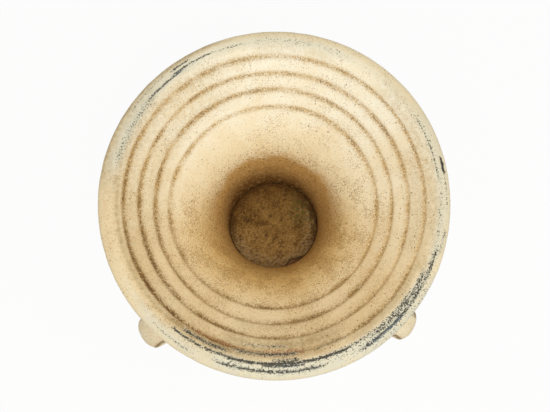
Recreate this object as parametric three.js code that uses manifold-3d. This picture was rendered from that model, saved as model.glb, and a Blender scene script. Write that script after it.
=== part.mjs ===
// A plant stand in cream fired clay: a flared, grooved dish that lifts off a waisted stem on scroll legs.
// Lengths are millimetres and angles are degrees.
// The origin is the middle of the throat floor, with +Z up.
import * as THREE from "three";
import { mergeVertices } from "three/addons/utils/BufferGeometryUtils.js";
import Module from "manifold-3d";

const wasm = await Module();
wasm.setup();

// Clearances, and the distance at which corners count as one
const SEAT_GAP = 0.3;
const FIT_GAP = 0.3;
const WELD = 1e-4;

// Dish: lip, brim and throat
const RIM_RADIUS = 150;
const LIP_ROLL = 12;
const LIP_TOP_DROP = 5.5;
const LIP_UNDER_DROP = 9;
const LIP_NECK = 9;
const CREST_WIDTH = 4;
const BRIM_SLOPE = 28;
const BRIM_WIDTH = 51;
const DISH_WALL = 12;
const GROOVE_COUNT = 4;
const GROOVE_INSET = 7;
const GROOVE_PITCH = 12.7;
const GROOVE_WIDTH = 4;
const GROOVE_FLOOR = 1.8;
const GROOVE_DEPTH = 1.2;
const THROAT_DEPTH = 114;
const THROAT_RADIUS = 39;
const THROAT_DRAFT = 3;
const SHOULDER_REACH = 26;
const THROAT_REACH = 72;

// Plug, and the ledge and spigot below it
const PLUG_THICKNESS = 16;
const PLUG_CHAMFER = 1.5;
const LEDGE_THICKNESS = 12;
const LEDGE_BORE = 28;
const FOOT_CHAMFER = 2;
const SPIGOT_WALL = 10;
const SPIGOT_LENGTH = 10;
const SPIGOT_PLAY = 1;

// Cork ring under the dish
const RING_THICKNESS = 2;
const RING_WIDTH = 9;

// Stem
const STEM_HEIGHT = 70;
const STEM_TOP_RADIUS = 52;
const STEM_WAIST_RADIUS = 31;
const STEM_WAIST_HEIGHT = 34;
const STEM_FOOT_RADIUS = 42;
const STEM_BEAD = 3;
const STEM_BEAD_HEIGHT = 12;
const STEM_WALL = 12;
const STEM_WEB = 12;
const TENON_RADIUS = 29;
const TENON_LENGTH = 8;

// Hub that carries the legs
const HUB_CLEARANCE = 44;
const HUB_HEIGHT = 44;
const HUB_RADIUS = 46;
const HUB_FOOT_RADIUS = 28;
const HUB_FOOT_RISE = 14;
const HUB_EDGE = 4;
const NUT_RECESS_RADIUS = 14;

// Tie rod, nuts and washers
const ROD_RADIUS = 5;
const ROD_TAIL = 3;
const NUT_SIDES = 6;
const NUT_FLATS = 17;
const NUT_HEIGHT = 8;
const WASHER_RADIUS = 11;
const WASHER_THICKNESS = 2;

// Scroll legs
const LEG_WIDTH = 35;
const LEG_ROOT_THICKNESS = 21;
const LEG_TOE_THICKNESS = 9;
const LEG_EDGE = 3;
const LEG_RISE_ANGLE = 18;
const LEG_ROOT_REACH = 42;
const LEG_TOE_REACH = 54;
const SCROLL_CENTRE_RADIUS = 145;
const SCROLL_RADIUS = 15.5;
const SCROLL_EYE_RADIUS = 4.2;
const SCROLL_EYE_THICKNESS = 6.4;
const SCROLL_TURNS = 1.3;
const LEGS = [["front_left", 210], ["front_right", 330], ["back", 90]];

// Dowels and pads
const DOWEL_RADIUS = 4;
const DOWEL_LENGTH = 28;
const DOWEL_SPREAD = 18;
const PAD_THICKNESS = 4;
const PAD_LENGTH = 12;
const PAD_WIDTH = 25;
const PAD_CORNER = 4;
const FOOT_FLAT_DEPTH = 1.2;

// Facets
const DISH_SEGMENTS = 48;
const STEM_SEGMENTS = 36;
const ROUND_SEGMENTS = 24;
const DOWEL_SEGMENTS = 12;
const CURVE_STEPS = 9;
const LIP_STEPS = 4;
const LEG_STEPS = 14;
const SCROLL_STEPS = 26;

// Heights above the floor, stacked upwards
const hubTop = HUB_CLEARANCE + HUB_HEIGHT;
const stemFoot = hubTop + SEAT_GAP;
const stemTop = stemFoot + STEM_HEIGHT;
const ringFoot = stemTop + SEAT_GAP;
const dishFoot = ringFoot + RING_THICKNESS + SEAT_GAP;
const ledgeTop = dishFoot + LEDGE_THICKNESS;
const plugFoot = ledgeTop + SEAT_GAP;
const plugTop = plugFoot + PLUG_THICKNESS;
const crest = plugTop + THROAT_DEPTH;
const spigotFoot = dishFoot - SPIGOT_LENGTH;
const socketFloor = spigotFoot - SPIGOT_PLAY;
const webFoot = socketFloor - STEM_WEB;
const legRoot = HUB_CLEARANCE + HUB_HEIGHT / 2;

// Radii that follow from the ones above
const crestOuter = RIM_RADIUS - LIP_ROLL;
const crestInner = crestOuter - CREST_WIDTH;
const brimInner = crestInner - BRIM_WIDTH;
const spigotRadius = LEDGE_BORE + SPIGOT_WALL;
const socketRadius = spigotRadius + FIT_GAP;
const dishFootRadius = THROAT_RADIUS + DISH_WALL;
const rodHole = ROD_RADIUS + FIT_GAP;
const tenonSocketDepth = TENON_LENGTH + SEAT_GAP;
const nutRecessDepth = SEAT_GAP * 2 + WASHER_THICKNESS + NUT_HEIGHT + ROD_TAIL;
const nutRecessTop = HUB_CLEARANCE + nutRecessDepth;

const clay = new THREE.MeshStandardMaterial({ color: 0xe3cda4, roughness: 0.55, metalness: 0 });
const earth = new THREE.MeshStandardMaterial({ color: 0x76592f, roughness: 0.95, metalness: 0 });
const cork = new THREE.MeshStandardMaterial({ color: 0xa97c4c, roughness: 0.9, metalness: 0 });
const steel = new THREE.MeshStandardMaterial({ color: 0x9a9a98, roughness: 0.35, metalness: 1 });
const felt = new THREE.MeshStandardMaterial({ color: 0x4a3b2c, roughness: 1, metalness: 0 });

const radians = THREE.MathUtils.degToRad;
const point = (r, z) => new THREE.Vector2(r, z);

// Solids from closed meshes, and back
function toSolid(geometry) {
  const bare = geometry.clone();
  bare.deleteAttribute("normal");
  bare.deleteAttribute("uv");
  const merged = mergeVertices(bare, WELD);
  const vertProperties = new Float32Array(merged.attributes.position.array);
  const triVerts = new Uint32Array(merged.index.array);
  return new wasm.Manifold(new wasm.Mesh({ numProp: 3, vertProperties, triVerts }));
}

function toGeometry(solid) {
  const { vertProperties, triVerts } = solid.getMesh();
  const geometry = new THREE.BufferGeometry();
  geometry.setAttribute("position", new THREE.BufferAttribute(vertProperties, 3));
  geometry.setIndex(new THREE.BufferAttribute(triVerts, 1));
  geometry.computeVertexNormals();
  return geometry;
}

function cut(geometry, tools) {
  const solid = tools.reduce((left, tool) => left.subtract(toSolid(tool)), toSolid(geometry));
  return toGeometry(solid);
}

// A turned piece: the profile runs up the outside and down the inside, in radius and height.
function turned(profile, segments) {
  return new THREE.LatheGeometry(profile, segments).rotateX(Math.PI / 2);
}

function ring(profile, segments) {
  return turned([...profile, profile[0]], segments);
}

function tube(inner, outer, foot, top, segments) {
  return ring([point(inner, foot), point(outer, foot), point(outer, top), point(inner, top)], segments);
}

function disc(radius, foot, top, segments) {
  return turned([point(0, foot), point(radius, foot), point(radius, top), point(0, top)], segments);
}

// A round bar along X, centred on the given place
function barAlongX(radius, length, x, y, z) {
  return disc(radius, -length / 2, length / 2, DOWEL_SEGMENTS).rotateY(Math.PI / 2).translate(x, y, z);
}

function quarter(centre, width, height, fromAngle, toAngle) {
  const arc = [];
  for (let i = 0; i <= LIP_STEPS; i += 1) {
    const angle = radians(fromAngle + ((toAngle - fromAngle) * i) / LIP_STEPS);
    arc.push(point(centre.x + width * Math.cos(angle), centre.y + height * Math.sin(angle)));
  }
  return arc;
}

// The points of a curve moved sideways, to the left of its run
function offset(points, distance) {
  return points.map((at, i) => {
    const before = points[Math.max(i - 1, 0)];
    const after = points[Math.min(i + 1, points.length - 1)];
    const along = after.clone().sub(before).normalize();
    return point(at.x - along.y * distance, at.y + along.x * distance);
  });
}

// Dish: a straight brim, then a curve that turns down into the throat
const brimDrop = (radius) => (crestInner - radius) * Math.tan(radians(BRIM_SLOPE));

function throatCurve() {
  const slope = radians(BRIM_SLOPE);
  const downhill = point(-Math.cos(slope), -Math.sin(slope));
  const start = point(brimInner, crest - brimDrop(brimInner));
  const shoulder = start.clone().addScaledVector(downhill, SHOULDER_REACH);
  const foot = point(THROAT_RADIUS, ledgeTop);
  const steep = point(THROAT_RADIUS + THROAT_DRAFT, ledgeTop + THROAT_REACH);
  return new THREE.CubicBezierCurve(start, shoulder, steep, foot).getPoints(CURVE_STEPS);
}

// One groove in the brim, from its outer edge to its inner one
function groove(radius) {
  const slope = radians(BRIM_SLOPE);
  const edge = GROOVE_WIDTH / 2;
  const floor = GROOVE_FLOOR / 2;
  const across = [[edge, 0], [floor, GROOVE_DEPTH], [-floor, GROOVE_DEPTH], [-edge, 0]];
  return across.map(([along, depth]) => {
    const r = radius + along * Math.cos(slope);
    return point(r + depth * Math.sin(slope), crest - brimDrop(r) - depth * Math.cos(slope));
  });
}

function dishInside() {
  const grooves = [];
  for (let i = 0; i < GROOVE_COUNT; i += 1) {
    grooves.push(...groove(crestInner - GROOVE_INSET - GROOVE_PITCH * i));
  }
  return [point(crestInner, crest), ...grooves, ...throatCurve()];
}

// The underside follows the inside at the wall's thickness, from the foot up to the neck of the lip.
function dishOutside() {
  const smooth = [point(crestInner, crest), ...throatCurve()].reverse();
  const shell = offset(smooth, -DISH_WALL);
  const neckRadius = crestOuter - LIP_NECK;
  const neckDrop = brimDrop(neckRadius - DISH_WALL * Math.sin(radians(BRIM_SLOPE)));
  const neck = point(neckRadius, crest - neckDrop - DISH_WALL * Math.cos(radians(BRIM_SLOPE)));
  const wall = shell.filter((at) => at.x < neckRadius - LIP_NECK && at.y > dishFoot + LEDGE_THICKNESS / 2);
  return [point(dishFootRadius, dishFoot + FOOT_CHAMFER), ...wall, neck];
}

function lip() {
  const centre = point(crestOuter, crest - LIP_TOP_DROP);
  const under = quarter(centre, LIP_ROLL, LIP_UNDER_DROP, -90, 0);
  const over = quarter(centre, LIP_ROLL, LIP_TOP_DROP, 0, 90);
  return [...under, ...over.slice(1)];
}

function bowlShell() {
  return ring([
    point(LEDGE_BORE, spigotFoot),
    point(spigotRadius, spigotFoot),
    point(spigotRadius, dishFoot),
    point(dishFootRadius - FOOT_CHAMFER, dishFoot),
    ...dishOutside(),
    ...lip(),
    ...dishInside(),
    point(LEDGE_BORE, ledgeTop),
  ], DISH_SEGMENTS);
}

// The throat's radius at a height, along its faceted wall
function throatRadius(height) {
  const wall = throatCurve();
  const above = wall.findLast((at) => at.y > height);
  const below = wall.find((at) => at.y <= height);
  const share = (height - below.y) / (above.y - below.y);
  return THREE.MathUtils.lerp(below.x, above.x, share);
}

// The plug fills the throat down to the ledge, with a broken upper edge.
function throatPlug() {
  const shoulder = plugTop - PLUG_CHAMFER;
  const side = throatCurve().filter((at) => at.y > plugFoot && at.y < shoulder).reverse();
  const topRadius = throatRadius(shoulder) - FIT_GAP;
  return turned([
    point(0, plugFoot),
    point(throatRadius(plugFoot) - FIT_GAP, plugFoot),
    ...side.map((at) => point(at.x - FIT_GAP, at.y)),
    point(topRadius, shoulder),
    point(topRadius - PLUG_CHAMFER, plugTop),
    point(0, plugTop),
  ], DISH_SEGMENTS);
}

function seatRing() {
  return tube(socketRadius, socketRadius + RING_WIDTH, ringFoot, ringFoot + RING_THICKNESS, STEM_SEGMENTS);
}

// Stem: waisted outside, with a bead at the foot; hollow below its web
function stemOutside() {
  const curve = new THREE.SplineCurve([
    point(STEM_FOOT_RADIUS, stemFoot + STEM_BEAD_HEIGHT),
    point(STEM_WAIST_RADIUS, stemFoot + STEM_WAIST_HEIGHT),
    point(STEM_TOP_RADIUS, stemTop),
  ]);
  return curve.getPoints(CURVE_STEPS);
}

function stem() {
  const outside = stemOutside();
  const beadMiddle = stemFoot + STEM_BEAD_HEIGHT / 2;
  const bead = quarter(point(STEM_FOOT_RADIUS, beadMiddle), STEM_BEAD, STEM_BEAD_HEIGHT / 2, -90, 90);
  const hollow = outside.filter((at) => at.y < webFoot - STEM_WALL / 2);
  const tenonBore = TENON_RADIUS - STEM_WALL;
  return ring([
    point(tenonBore, stemFoot - TENON_LENGTH),
    point(TENON_RADIUS, stemFoot - TENON_LENGTH),
    point(TENON_RADIUS, stemFoot),
    ...bead,
    ...outside.slice(1),
    point(socketRadius, stemTop),
    point(socketRadius, socketFloor),
    point(rodHole, socketFloor),
    point(rodHole, webFoot),
    ...hollow.reverse().map((at) => point(Math.max(at.x - STEM_WALL, rodHole), at.y)),
    point(tenonBore, stemFoot),
  ], STEM_SEGMENTS);
}

// Hub: a drum with a rounded underside, a socket for the stem and a recess for the lower nut
function hubOutside(grow) {
  return [
    point(HUB_FOOT_RADIUS + grow, HUB_CLEARANCE),
    ...quarter(
      point(HUB_FOOT_RADIUS + grow, HUB_CLEARANCE + HUB_FOOT_RISE),
      HUB_RADIUS - HUB_FOOT_RADIUS, HUB_FOOT_RISE, -90, 0,
    ).slice(1),
    point(HUB_RADIUS + grow, hubTop - HUB_EDGE),
    point(HUB_RADIUS + grow - HUB_EDGE, hubTop),
  ];
}

function tripodHub() {
  const socket = TENON_RADIUS + FIT_GAP;
  const socketTopFloor = hubTop - tenonSocketDepth;
  return ring([
    point(NUT_RECESS_RADIUS, HUB_CLEARANCE),
    ...hubOutside(0),
    point(socket, hubTop),
    point(socket, socketTopFloor),
    point(rodHole, socketTopFloor),
    point(rodHole, nutRecessTop),
    point(NUT_RECESS_RADIUS, nutRecessTop),
  ], STEM_SEGMENTS);
}

// Leg: a strap that leaves the hub, falls to the floor and rolls up into a scroll
const footFlat = PAD_THICKNESS + SEAT_GAP;
const toeHeight = footFlat - FOOT_FLAT_DEPTH + LEG_TOE_THICKNESS / 2;

function legPath() {
  const rise = radians(LEG_RISE_ANGLE);
  const root = point(HUB_RADIUS - LEG_ROOT_THICKNESS / 2, legRoot);
  const toe = point(SCROLL_CENTRE_RADIUS, toeHeight);
  const sweep = new THREE.CubicBezierCurve(
    root,
    point(root.x + LEG_ROOT_REACH * Math.cos(rise), root.y + LEG_ROOT_REACH * Math.sin(rise)),
    point(toe.x - LEG_TOE_REACH, toe.y),
    toe,
  );
  const path = [];
  for (let i = 0; i <= LEG_STEPS; i += 1) {
    const share = i / LEG_STEPS;
    const along = sweep.getTangent(share);
    const thickness = THREE.MathUtils.lerp(LEG_ROOT_THICKNESS, LEG_TOE_THICKNESS, share);
    path.push({ at: sweep.getPoint(share), heading: Math.atan2(along.y, along.x), thickness });
  }
  return path;
}

// The scroll turns upwards and back, with a radius that shrinks steadily towards its eye.
function scrollPath() {
  const path = [];
  const turn = (SCROLL_TURNS * 2 * Math.PI) / SCROLL_STEPS;
  const at = point(SCROLL_CENTRE_RADIUS, toeHeight);
  for (let i = 1; i <= SCROLL_STEPS; i += 1) {
    const share = i / SCROLL_STEPS;
    const radius = THREE.MathUtils.lerp(SCROLL_RADIUS, SCROLL_EYE_RADIUS, share - 0.5 / SCROLL_STEPS);
    const chord = 2 * radius * Math.sin(turn / 2);
    const middle = (i - 0.5) * turn;
    at.add(point(chord * Math.cos(middle), chord * Math.sin(middle)));
    const thickness = THREE.MathUtils.lerp(LEG_TOE_THICKNESS, SCROLL_EYE_THICKNESS, share);
    path.push({ at: at.clone(), heading: i * turn, thickness });
  }
  return path;
}

// The strap's section, a flat bar with broken edges: sideways and outward distances from its middle
function strapSection(thickness) {
  const side = LEG_WIDTH / 2;
  const face = thickness / 2;
  const innerSide = side - LEG_EDGE;
  const innerFace = face - LEG_EDGE;
  return [
    [-innerSide, -face], [innerSide, -face], [side, -innerFace], [side, innerFace],
    [innerSide, face], [-innerSide, face], [-side, innerFace], [-side, -innerFace],
  ];
}

// The section swept along a path in the XZ plane
function strap(path) {
  const positions = [];
  path.forEach(({ at, heading, thickness }) => {
    strapSection(thickness).forEach(([y, out]) => {
      positions.push(at.x - Math.sin(heading) * out, y, at.y + Math.cos(heading) * out);
    });
  });
  const count = strapSection(LEG_TOE_THICKNESS).length;
  const index = [];
  for (let i = 0; i + 1 < path.length; i += 1) {
    for (let j = 0; j < count; j += 1) {
      const a = i * count + j;
      const b = i * count + ((j + 1) % count);
      index.push(a, b, a + count, b, b + count, a + count);
    }
  }
  const last = (path.length - 1) * count;
  for (let j = 1; j + 1 < count; j += 1) {
    index.push(0, j + 1, j);
    index.push(last, last + j, last + j + 1);
  }
  const geometry = new THREE.BufferGeometry();
  geometry.setAttribute("position", new THREE.Float32BufferAttribute(positions, 3));
  geometry.setIndex(index);
  return geometry;
}

const dowelPlaces = [["left", DOWEL_SPREAD / 2], ["right", -DOWEL_SPREAD / 2]];
const dowelBar = (y, grow) => barAlongX(
  DOWEL_RADIUS + grow, DOWEL_LENGTH + grow * 2, HUB_RADIUS, y, legRoot,
);

// The leg is cut to the hub's curve, drilled for its dowels and cut flat over its pad.
function scrollLeg() {
  const hubProfile = [point(0, HUB_CLEARANCE), ...hubOutside(SEAT_GAP), point(0, hubTop)];
  const hubSpace = turned(hubProfile, STEM_SEGMENTS);
  const floorSpace = new THREE.BoxGeometry(LEG_TOE_REACH * 2, LEG_WIDTH * 2, footFlat * 2);
  floorSpace.translate(SCROLL_CENTRE_RADIUS, 0, 0);
  const holes = dowelPlaces.map(([, y]) => dowelBar(y, FIT_GAP));
  return cut(strap([...legPath(), ...scrollPath()]), [hubSpace, floorSpace, ...holes]);
}

function footPad() {
  const shape = new THREE.Shape();
  const x = PAD_LENGTH / 2;
  const y = PAD_WIDTH / 2;
  shape.moveTo(-x + PAD_CORNER, -y);
  shape.lineTo(x - PAD_CORNER, -y);
  shape.absarc(x - PAD_CORNER, -y + PAD_CORNER, PAD_CORNER, -Math.PI / 2, 0);
  shape.absarc(x - PAD_CORNER, y - PAD_CORNER, PAD_CORNER, 0, Math.PI / 2);
  shape.absarc(-x + PAD_CORNER, y - PAD_CORNER, PAD_CORNER, Math.PI / 2, Math.PI);
  shape.absarc(-x + PAD_CORNER, -y + PAD_CORNER, PAD_CORNER, Math.PI, Math.PI * 1.5);
  const options = { depth: PAD_THICKNESS, bevelEnabled: false, curveSegments: LIP_STEPS };
  return new THREE.ExtrudeGeometry(shape, options).translate(SCROLL_CENTRE_RADIUS, 0, 0);
}

// Rod and fastenings, on the stand's axis
const bottomWasher = nutRecessTop - SEAT_GAP - WASHER_THICKNESS;
const bottomNut = bottomWasher - NUT_HEIGHT - SEAT_GAP;
const topWasher = socketFloor + SEAT_GAP;
const topNut = topWasher + WASHER_THICKNESS + SEAT_GAP;

function nut(foot) {
  const corner = NUT_FLATS / 2 / Math.cos(Math.PI / NUT_SIDES);
  const shape = new THREE.Shape();
  for (let i = 0; i < NUT_SIDES; i += 1) {
    const angle = (i * 2 * Math.PI) / NUT_SIDES;
    const step = i === 0 ? "moveTo" : "lineTo";
    shape[step](corner * Math.cos(angle), corner * Math.sin(angle));
  }
  shape.holes.push(new THREE.Path().absarc(0, 0, rodHole, 0, Math.PI * 2, true));
  const options = { depth: NUT_HEIGHT, bevelEnabled: false, curveSegments: DOWEL_SEGMENTS };
  return new THREE.ExtrudeGeometry(shape, options).translate(0, 0, foot);
}

const washer = (foot) => tube(rodHole, WASHER_RADIUS, foot, foot + WASHER_THICKNESS, ROUND_SEGMENTS);
const tieRod = () => disc(ROD_RADIUS, bottomNut - ROD_TAIL, topNut + NUT_HEIGHT + ROD_TAIL, ROUND_SEGMENTS);

// The dowels' sockets in the hub
function drilledHub() {
  const holes = LEGS.flatMap(([, angle]) => dowelPlaces.map(
    ([, y]) => dowelBar(y, FIT_GAP).rotateZ(radians(angle)),
  ));
  return cut(tripodHub(), holes);
}

function named(name, geometry, material) {
  const mesh = new THREE.Mesh(geometry, material);
  mesh.name = name;
  return mesh;
}

const stand = new THREE.Group();
stand.position.z = -plugTop;

stand.add(named("bowl_shell", bowlShell(), clay));
stand.add(named("throat_plug", throatPlug(), earth));
stand.add(named("seat_ring", seatRing(), cork));
stand.add(named("stem", stem(), clay));
stand.add(named("tripod_hub", drilledHub(), clay));
stand.add(named("tie_rod", tieRod(), steel));
stand.add(named("rod_nut_top", nut(topNut), steel));
stand.add(named("rod_nut_bottom", nut(bottomNut), steel));
stand.add(named("rod_washer_top", washer(topWasher), steel));
stand.add(named("rod_washer_bottom", washer(bottomWasher), steel));

LEGS.forEach(([side, angle]) => {
  const place = new THREE.Group();
  place.rotation.z = radians(angle);
  place.add(named(`leg_${side}`, scrollLeg(), clay));
  place.add(named(`foot_pad_${side}`, footPad(), felt));
  dowelPlaces.forEach(([hand, y]) => place.add(named(`leg_dowel_${side}_${hand}`, dowelBar(y, 0), steel)));
  stand.add(place);
});

export default stand;
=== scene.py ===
# The looks of a cream fired-clay plant stand, dressed around its solids. Lengths are metres, +Z is up.
import math
import random

import bmesh
import bpy
from mathutils import Matrix, Vector, noise


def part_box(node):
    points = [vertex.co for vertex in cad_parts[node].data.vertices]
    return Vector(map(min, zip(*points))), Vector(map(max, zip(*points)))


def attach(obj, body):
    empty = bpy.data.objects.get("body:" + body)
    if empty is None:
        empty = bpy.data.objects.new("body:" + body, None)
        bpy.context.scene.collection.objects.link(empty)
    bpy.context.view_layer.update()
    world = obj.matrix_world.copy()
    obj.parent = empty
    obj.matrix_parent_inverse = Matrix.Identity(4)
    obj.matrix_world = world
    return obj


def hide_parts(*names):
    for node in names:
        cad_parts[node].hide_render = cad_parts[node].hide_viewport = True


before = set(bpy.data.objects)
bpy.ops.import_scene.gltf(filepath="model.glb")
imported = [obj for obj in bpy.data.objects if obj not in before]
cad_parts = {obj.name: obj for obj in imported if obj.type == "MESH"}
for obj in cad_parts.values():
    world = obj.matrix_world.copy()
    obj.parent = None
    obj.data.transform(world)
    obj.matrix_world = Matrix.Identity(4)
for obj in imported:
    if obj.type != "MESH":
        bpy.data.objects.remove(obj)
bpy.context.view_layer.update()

MM = 0.001
TURN = 2 * math.pi

# Places read from the frame
DISH_LOW, DISH_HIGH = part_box("bowl_shell")
PLUG_LOW, PLUG_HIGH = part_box("throat_plug")
CORK_LOW, CORK_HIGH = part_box("seat_ring")
STEM_LOW, STEM_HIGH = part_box("stem")
HUB_LOW, HUB_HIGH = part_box("tripod_hub")
ROD_LOW, ROD_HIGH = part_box("tie_rod")
PAD_LOW, PAD_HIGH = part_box("foot_pad_back")
CREST = DISH_HIGH.z
RIM_RADIUS = DISH_HIGH.x
FLOOR = PAD_LOW.z
GAP = 0.3 * MM

# Points round each turned piece
DISH_SEGMENTS = 360
PLUG_SEGMENTS = 300
STEM_SEGMENTS = 160
CORK_SEGMENTS = 180
NUT_SEGMENTS = 96
WASHER_SEGMENTS = 72
ROD_SEGMENTS = 32

# Dish
LIP_ROLL = 12 * MM
LIP_TOP_DROP = 5.5 * MM
LIP_UNDER_DROP = 9 * MM
LIP_NECK = 9 * MM
CREST_WIDTH = 4 * MM
CREST_OUTER = RIM_RADIUS - LIP_ROLL
CREST_INNER = CREST_OUTER - CREST_WIDTH
BRIM_SLOPE = math.radians(28)
BRIM_WIDTH = 51 * MM
BRIM_INNER = CREST_INNER - BRIM_WIDTH
BRIM_DEPTH = 32 * MM
WORN_DEPTH = 22 * MM
DISH_WALL = 12 * MM
GROOVE_COUNT = 4
GROOVE_INSET = 7 * MM
GROOVE_OUTERMOST = CREST_INNER - GROOVE_INSET
GROOVE_PITCH = 13.1 * MM
GROOVE_WIDTH = 4.4 * MM
GROOVE_DEPTH = 0.95 * MM
GROOVE_DRIFT = 0.55 * MM
STAIN_REACH = 2.4
STAIN_SPREAD = 1.02
THROAT_RADIUS = 39 * MM
THROAT_DRAFT = 3 * MM
THROAT_REACH = 72 * MM
THROAT_STEPS = 46
SHOULDER_REACH = 26 * MM
LEDGE_TOP = PLUG_LOW.z - GAP
LEDGE_BORE = 28 * MM
SPIGOT_RADIUS = 38 * MM
LEDGE_THICKNESS = 12 * MM
DISH_FOOT = LEDGE_TOP - LEDGE_THICKNESS
DISH_FOOT_RADIUS = THROAT_RADIUS + DISH_WALL
DISH_FOOT_BAND = 6 * MM
FOOT_CHAMFER = 2 * MM
FOOT_ROUNDING = 1.2 * MM
NECK_ROUNDING = 4 * MM
CREST_ROUNDING = 2 * MM
OUTSIDE_STEP = 3 * MM
BRIM_STEP = 0.74 * MM

# Throat plug
PLUG_EDGE = 0.6 * MM
PLUG_SPREAD = 0.35 * MM
PLUG_SIDE_STEP = 3 * MM
PLUG_FACE_STEP = 0.5 * MM
PLUG_CRUST = 3 * MM
PLUG_GRIT_DEPTH = 0.35 * MM
PLUG_GRIT_SIZE = 1.6 * MM
PLUG_RIM = (33 * MM, 39 * MM)
PLUG_RIM_RISE = 0.8 * MM
PLUG_RIM_LUMP = 6 * MM
PIT_COUNT = 46
PIT_SEED = 11
PIT_ZONE = 36 * MM
PIT_DEPTH = 1.4 * MM
FLAKE_ANGLE = math.radians(-64)
FLAKE_REACH = 35.2 * MM
FLAKE_CURVE = 0.36
FLAKE_EDGE = 0.8 * MM
FLAKE_DROP = 0.5 * MM
FLAKE_SLOPE = 1 * MM
CRACK_WAVE = 0.5 * MM
CRACK_WAVE_STEP = 1.7 * MM
CRACK_WIDTH = 0.5 * MM
CRACK_STAIN = 0.6 * MM
CRACK_DEPTH = 1.7 * MM

# Stem and hub
STEM_FOOT = HUB_HIGH.z + GAP
STEM_TOP_RADIUS = STEM_HIGH.x
STEM_WAIST_RADIUS = 31 * MM
STEM_WAIST_HEIGHT = 34 * MM
STEM_FOOT_RADIUS = 42 * MM
STEM_BEAD = 3 * MM
STEM_BEAD_HEIGHT = 12 * MM
STEM_WALL = 12 * MM
STEM_ROUNDING = 1.4 * MM
WAIST_STEPS = 20
TURNED_STEP = 2.5 * MM
SPIGOT_ROOM = 1 * MM
SOCKET_RADIUS = SPIGOT_RADIUS + GAP
SOCKET_FLOOR = DISH_LOW.z - SPIGOT_ROOM
WEB_THICKNESS = 12 * MM
WEB_FOOT = SOCKET_FLOOR - WEB_THICKNESS
TENON_RADIUS = 29 * MM
ROD_RADIUS = ROD_HIGH.x
ROD_HOLE = ROD_RADIUS + GAP
HUB_RADIUS = HUB_HIGH.x
HUB_FOOT_RADIUS = 28 * MM
HUB_FOOT_RISE = 14 * MM
HUB_EDGE = 4 * MM
HUB_ROUNDING = 2.2 * MM
NUT_RECESS_RADIUS = 14 * MM
NUT_RECESS_DEPTH = 13.6 * MM
NUT_RECESS_TOP = HUB_LOW.z + NUT_RECESS_DEPTH
CORK_ROUNDING = 0.5 * MM
CORK_STEP = 1.2 * MM
CORK_GRAIN_DEPTH = 0.12 * MM
CORK_GRAIN_SIZE = 1.8 * MM

# Legs and pads
LEG_ANGLES = {"front_left": 210, "front_right": 330, "back": 90}
LEG_SHORTFALL = {"front_left": 2.4 * MM, "front_right": 0.0, "back": 1.0 * MM}
LEG_WIDTH = 33 * MM
LEG_ROOT_THICKNESS = 21 * MM
LEG_TOE_THICKNESS = 9 * MM
LEG_ROOT_HEIGHT = (HUB_LOW.z + HUB_HIGH.z) / 2
LEG_RISE = math.radians(18)
LEG_ROOT_REACH = 42 * MM
LEG_TOE_REACH = 54 * MM
LEG_STEPS = 48
STRAP_POINTS = 44
STRAP_BLUNTNESS = 0.55
SCROLL_CENTRE_RADIUS = (PAD_LOW.y + PAD_HIGH.y) / 2
SCROLL_RADIUS = 15.5 * MM
SCROLL_EYE_RADIUS = 4.2 * MM
SCROLL_EYE_THICKNESS = 6.4 * MM
SCROLL_TURNS = 1.3
SCROLL_STEPS = 84
SCROLL_RISE = 0.85
SCROLL_BARREL = 0.3
SCROLL_BARREL_CURVE = 2.4
FOOT_FLAT = PAD_HIGH.z + GAP
FOOT_SOLE = 0.5 * MM
FOOT_FLATTENING = 1.2 * MM
TOE_HEIGHT = FOOT_FLAT - FOOT_FLATTENING + LEG_TOE_THICKNESS / 2
EYE_HEIGHT = TOE_HEIGHT + SCROLL_RADIUS * SCROLL_RISE
BARREL_START = FOOT_FLAT + 2 * MM
BARREL_FULL = FOOT_FLAT + 14 * MM
PAD_CORNER = 4 * MM
PAD_STEP = 1.2 * MM
PAD_FIBRE = 0.9 * MM
PAD_FUZZ = 0.012
# Each layer of a pad: its outline's share of the full one, and its height's share of the pad's
PAD_LAYERS = [(0.6, 0), (0.97, 0), (1, 0.15), (1.0, 0.5), (0.99, 0.82), (0.94, 1), (0.6, 1)]

# Rod, nuts and washers
THREAD_PITCH = 1.5 * MM
THREAD_DEPTH = 0.45 * MM
THREAD_LENGTH = 26 * MM
THREAD_STEPS = 6
ROD_TIP = 0.8 * MM
NUT_FLATS = 17 * MM
NUT_BEVEL = 0.6 * MM
NUT_FACE_INSET = 0.3 * MM
NUT_CORNER_SLOPE = math.radians(30)
NUT_CORNER_DROP = 0.12 * MM
NUT_CORNER_IN = 0.1 * MM
NUT_CORNER_DOWN = 0.15 * MM
WASHER_ROUNDING = 0.35 * MM

# How the rim stands off a true circle: waves in a round, share of the radius, and a peak's angle in degrees
RIM_SHRINK = 0.0082
RIM_WAVES = [(1, 0.0076, -6), (2, 0.0052, 86), (3, 0.0035, 48)]
RIM_WAVES_START = 60 * MM
RIM_SAG = 0.35 * MM
RIM_UNEVENNESS = 0.3 * MM
# Lumps of hand-made clay: depth and size of the broad ones, then of the fine ones; and the rings of fingers
DISH_LUMPS = (0.22 * MM, 11 * MM, 0.1 * MM, 3 * MM)
STEM_LUMPS = (0.16 * MM, 12 * MM, 0.06 * MM, 3 * MM)
LEG_LUMPS = (0.2 * MM, 12 * MM, 0.08 * MM, 4 * MM)
PLUG_LUMPS = (0.5 * MM, 9 * MM, 0.45 * MM, 3.4 * MM)
FINGER_STEP = 2.2 * MM
DISH_FINGER_DEPTH = 0.09 * MM
STEM_FINGER_DEPTH = 0.06 * MM
# Half widths of the wash in joints and creases
STEM_FOOT_STAIN = 2.2 * MM
BEAD_STAIN = 2.4 * MM
TOP_EDGE_STAIN = 2.5 * MM
LEG_SOCKET_STAIN = 2.6 * MM
LEG_ROOT_STAIN = 3 * MM
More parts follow.
